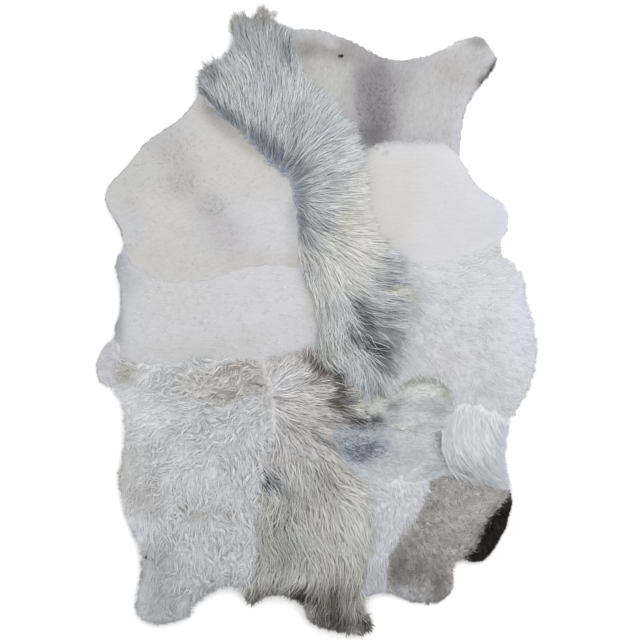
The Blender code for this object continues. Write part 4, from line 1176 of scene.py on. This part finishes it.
# spine: the strip of the longest hair, from the crown at the top down the middle. It is parted along
# its left seam, where the slate roots show, and falls over the neighbours to the right.
blots = [
    (-16, 83, 8, 5, 270, 275, 270, 80), (-17, 87.5, 9, 3.4, 170, 165, 155, 92),
    (-22, 80, 3, 6, 320, 335, 340, 60), (-9, 76.5, 2.8, 5.5, 150, 165, 180, 85, 10),
    (-31, 69.5, 4, 3, 240, 250, 260, 70, 20), (-20, 72, 5, 4, 560, 585, 605, 50),
    (-15, 67.5, 5, 3, 340, 380, 440, 60, -20), (-26, 66.5, 4, 4.5, 500, 530, 500, 70, -30),
    (-16, 79, 6, 5, 370, 390, 390, 60), (-32, 72.4, 4.5, 1.8, 130, 130, 125, 90, 30),
    (-29.6, 69.2, 1.8, 0.9, 60, 65, 70, 80, 20), (-13, 60, 7, 5, 540, 570, 610, 60),
    (-27.5, 62.5, 4, 2, 400, 430, 460, 60, -42), (-32, 64, 3.6, 1.1, 60, 65, 75, 90, -42),
    (-24.5, 57.8, 6, 1.3, 130, 150, 190, 90, -38), (-16.5, 50.6, 6.4, 2.8, 100, 110, 145, 92, -41),
    (-11, 46.2, 6, 3.2, 90, 100, 135, 94, -38), (-20, 52.4, 10, 1.5, 190, 200, 230, 85, -41),
    (-10.5, 43.4, 5, 1.6, 160, 175, 215, 85, -41), (-26, 57.6, 6, 1.2, 150, 155, 180, 85, -41),
    (-5.5, 43.5, 5, 3.2, 140, 155, 190, 80, -25), (-6, 48.6, 2.6, 5, 200, 220, 255, 75, 10),
    (-26.6, 77, 1.4, 4.4, 270, 280, 285, 75), (-5.5, 37, 3.6, 6, 150, 165, 200, 90),
    (-5, 28, 2.2, 6, 140, 155, 190, 88, 5), (-2, 22, 4, 1.8, 200, 215, 240, 70, -45),
    (-6, 57, 2.5, 4, 260, 285, 320, 50, 40), (2, 53, 6, 5, 450, 490, 550, 60, 35),
    (-3.6, 69.5, 6, 1.6, 450, 455, 440, 70, -64), (3, 62, 6, 1.6, 490, 495, 490, 65, -50),
    (9, 55, 5, 1.6, 460, 470, 480, 60, -58), (8, 47, 7, 4, 600, 620, 655, 75, 30),
    (1, 41, 5, 3, 360, 390, 430, 60, 10), (5, 34, 5, 5, 520, 540, 540, 70),
    (13, 37, 6, 8, 630, 625, 600, 95), (12, 26, 8, 7, 600, 590, 530, 97),
    (1, 26.5, 3, 2.4, 240, 260, 290, 55, -30), (13, 17, 8, 6, 620, 610, 570, 95, -10),
    (4, 14, 5, 8, 650, 655, 635, 97), (6, 22, 6, 3, 600, 600, 575, 85, -20),
    (20, 16, 3.2, 2.6, 270, 310, 350, 85, -5), (20.4, 11, 3.2, 1.8, 130, 150, 170, 85, -5),
    (17.5, 13.5, 3.4, 1.2, 360, 385, 390, 60, -15), (25, 8, 6, 1.8, 600, 585, 500, 80, -8),
    (0, 8, 2.6, 11, 570, 570, 550, 90), (-3.2, 18, 2.4, 3.4, 490, 475, 440, 70),
    (10, 9, 5, 3.4, 600, 600, 560, 80, -45), (3.5, 1, 4, 6, 440, 450, 430, 70),
    (12, 4, 2.6, 3, 100, 110, 130, 85, -45), (13.6, 0.4, 3.2, 3.2, 70, 78, 92, 93, -20),
    (13, -3, 2.4, 1.6, 130, 140, 160, 80, -40), (15.2, -2.2, 1.8, 1.8, 35, 40, 50, 90),
    (20.4, 1.6, 4, 2.4, 210, 220, 225, 80), (20, -3.4, 5, 2.2, 180, 195, 210, 80, -20),
    (21.4, -7.2, 2.6, 2.6, 170, 180, 195, 75, -20), (9.2, -3, 1.3, 2.8, 40, 45, 55, 95, 10),
    (11.5, -6, 1.8, 1.6, 90, 95, 105, 75, -40), (4, -9, 5, 3.8, 370, 375, 335, 80),
    (3, -12.5, 4, 1.2, 220, 215, 180, 70, -15), (8.6, -8.4, 1.2, 2.6, 200, 210, 210, 60, 25),
    (12.4, -14.4, 4.2, 3.6, 540, 550, 580, 85), (18, -18, 4, 1.8, 500, 520, 500, 70, -50),
    (16.3, -7, 5.6, 3.2, 60, 67, 78, 94, -32), (17.8, -11.4, 4.2, 3, 65, 72, 82, 90, -42),
    (15.8, -8.2, 2.2, 1.8, 25, 28, 34, 90, -30), (21, -13.4, 2.2, 2.2, 220, 230, 240, 60, -50),
    # painted shadow: (6, -15.4) is the dark shade in a gap between the locks
    (17, -20.6, 4, 1.6, 190, 200, 190, 85, -50), (6, -15.4, 3.4, 1.4, 40, 36, 30, 97, -30),
]
comb = [
    (-32, 69, 130), (-28, 66, 115), (-24, 72, 112), (-22, 80, 104), (-24, 86, 110), (-18, 87, 92),
    (-13, 86, 88), (-9, 80, 74), (-18, 74, 105), (-14, 68, 95), (-25, 60, 112), (-20, 58, 100),
    (-15, 60, 90), (-16, 51, 92), (-11, 48, 74), (-9, 56, 74), (-6, 44, 44), (-4, 52, 60), (0, 57, 50),
    (-1, 47, 32), (3, 52, 36), (7, 49, 26), (-4, 38, 12), (1, 42, 14), (6, 42, 10), (3, 36, 2), (9, 36, 2),
    (-4, 31, -45), (-4, 26, -72), (-2, 22, -50), (1, 27, -28), (2, 21, -32), (7, 27, -6), (12, 25, 0),
    (17, 23, -4), (8, 18, -38), (13, 18, -25), (19, 16, -10), (24, 14, -4), (25, 8, -6), (20, 9, -14),
    (14, 10, -30), (-1, 15, -82), (2, 12, -76), (6, 12, -60), (9, 8, -52), (1, 4, -88), (4, 4, -82),
    (7, 3, -68), (3, -2, -100), (6, -3, -88), (10, 1, -55), (14, 4, -26), (14, -1, -24), (19, 2, -6),
    (22, -1, -10), (19, -5, -22), (14, -6, -30), (9, -5, -60), (16, -9, -36), (1, -8, -82), (3, -12, -42),
    (6, -14, -18), (5, -9, -75), (11, -11, -68), (9, -16, -125), (13, -17, -98), (16, -16, -75),
    (19, -13, -46), (22, -9, -36), (20, -18, -62),
]
calm = [
    (5, 54, 6, 8, 40, 0.4), (-10, 62, 10, 6, 0, 0.2), (13, 32, 10, 16, 10, 1), (8, 20, 8, 8, 0, 0.85),
    (15, 16, 4, 4, 0, 0.6), (2, 12, 4, 8, 0, 0.7), (8, 46, 6, 7, 40, 0.5), (6, 33, 4, 5, 0, 0.6),
]
hair = [
    locks(16, 8100, 0.076, 0.0019, rise=22, drop=-4, stray=7, fan=10, swirl=14, tuft=0.016, pull=0.55,
        dome=0.0025, cleft=0.06, curl=0.0022, wave=0.07, at_rim=350, rim_length=0.04, outward=0.5,
        over=0.016, past=0.006, tint=0.1, tuft_tint=0.09, streak=0.2, brindled=0.5, calm=calm),
    locks(316, 220, 0.07, 0.0015, dye=(0.6, 0.62, 0.62), steps=4, drop=0, stray=12, fan=14, tuft=0.02,
        dome=0.002, curl=0.003, wave=0.08, over=0.01, past=0.004, taper=0.3, root_shade=0.8, lay=0.004,
        softness=0.7, only=[(6, 2, 3, 4, -40, 1), (10.6, -8, 3, 4, -50, 0.8), (4, -7, 4, 5, 0, 0.5),
        (12, -1, 4, 3, -30, 0.35)]),
    locks(216, 420, 0.06, 0.0015, dye=(0.28, 0.275, 0.265), rise=10, uneven=0.35, stray=9, fan=22,
        tuft=0.013, pull=0.65, at_rim=220, rim_length=0.048, outward=0.3, past=0.03, taper=0.08,
        root_shade=0.95, tint=0.25, tuft_tint=0.3, only=[(-16.4, 85.6, 2.8, 3.4, 0, 1),
        (-21.4, 86, 1.6, 2.6, 0, 0.45), (-23.5, 83, 1.6, 4, 10, 0.4), (-31, 72, 4, 2, 30, 0.25)]),
    locks(516, 120, 0.065, 0.0011, comb=[(-22, 86, 103), (-25, 84, 125)], dye=(0.3, 0.295, 0.285), rise=8,
        uneven=0.45, stray=10, tuft=0.01, pull=0.5, at_rim=120, rim_length=0.05, outward=0.1, past=0.028,
        taper=0.08, root_shade=0.95, tint=0.25, only=[(-24.4, 84.4, 2.2, 3, 0, 1)]),
    short(616, 620, 0.04, 0.0022, rise=5, drop=2, stray=6, over=0.014, root_shade=1.0, tint=0.03, lay=0.004,
        softness=0.97, hollow=0.5, only=[(13, 34, 6, 10, 10, 1), (10, 22, 8, 4, -20, 0.6),
        (20, 24, 3, 5, 0, 0.6)]),
    locks(416, 700, 0.022, 0.0015, comb=[(-20, 50, 190), (-7, 30, 215)], steps=2, rise=12, stray=25, fan=40,
        pull=0.4, past=0.004, root_shade=0.95, lay=0.001, softness=0.85, only=[(-24, 55.6, 7, 1, -41, 1),
        (-13, 45.6, 7, 1, -38, 1), (-6, 33, 1, 9, 0, 0.8), (-1.6, 6, 1, 9, 6, 0.6)]),
    short(116, 5400, 0.034, 0.003, rise=12, stray=8, swirl=14, past=0.006, root_shade=0.92, tint=0.07,
        tuft_tint=0.07, softness=0.88, hollow=0.4, calm=calm),
]
dress("spine", "long_slate_locks", (0.46, 0.485, 0.51), blots, comb, hair, shade=0.9,
      hollow=0.4, way=-35, grain=160, fleck=0.12, end_fleck=0.06, depth=0.001, sheen=0.2)

# The floor, the light and the camera: a plain pale floor, soft light from all round with a little more
# from the upper right, and a camera straight above.
VIEW_WIDE = 1.824  # how much of the floor the picture takes in
LENS = 85.0
SENSOR = 36.0
ABOVE = (0.00445, 0.00169)  # the place on the floor that the camera is above
FLOOR_HALF = 6
FLOOR_HIGH = -0.0006

floor_paint, nodes, links, shader = new_material("pale_floor", 0.9)
dusty = noise_nodes(nodes, links, 1.5, 2)
pale = [(0.3, (0.94, 0.94, 0.94)), (0.7, (0.95, 0.95, 0.95))]
links.new(ramp_nodes(nodes, links, dusty, pale), shader.inputs["Base Color"])
corner = [(x * FLOOR_HALF, y * FLOOR_HALF, FLOOR_HIGH) for x, y in ((-1, -1), (1, -1), (1, 1), (-1, 1))]
floor = make_piece("floor", np.array(corner), np.array([(0, 1, 2), (0, 2, 3)]), in_plan=False)
floor.data.materials.append(floor_paint)

scene = bpy.context.scene
scene.view_settings.view_transform = "Standard"
world = bpy.data.worlds.new("soft_room")
world.use_nodes = True
world.node_tree.nodes["Background"].inputs["Color"].default_value = (1.0, 1.0, 1.0, 1.0)
world.node_tree.nodes["Background"].inputs["Strength"].default_value = 1.1
scene.world = world
lamp = bpy.data.lights.new("soft_lamp", "AREA")
lamp.size = 2.6
lamp.energy = 50
lamp_stand = bpy.data.objects.new("soft_lamp", lamp)
lamp_stand.location = (1.4, 1.8, 2.6)
lamp_stand.rotation_euler = (-lamp_stand.location).to_track_quat("-Z", "Y").to_euler()
scene.collection.objects.link(lamp_stand)

camera = bpy.data.cameras.new("above")
camera.lens = LENS
camera.sensor_width = SENSOR
camera_stand = bpy.data.objects.new("above", camera)
camera_stand.location = (*ABOVE, VIEW_WIDE * LENS / SENSOR)
scene.collection.objects.link(camera_stand)
scene.camera = camera_stand
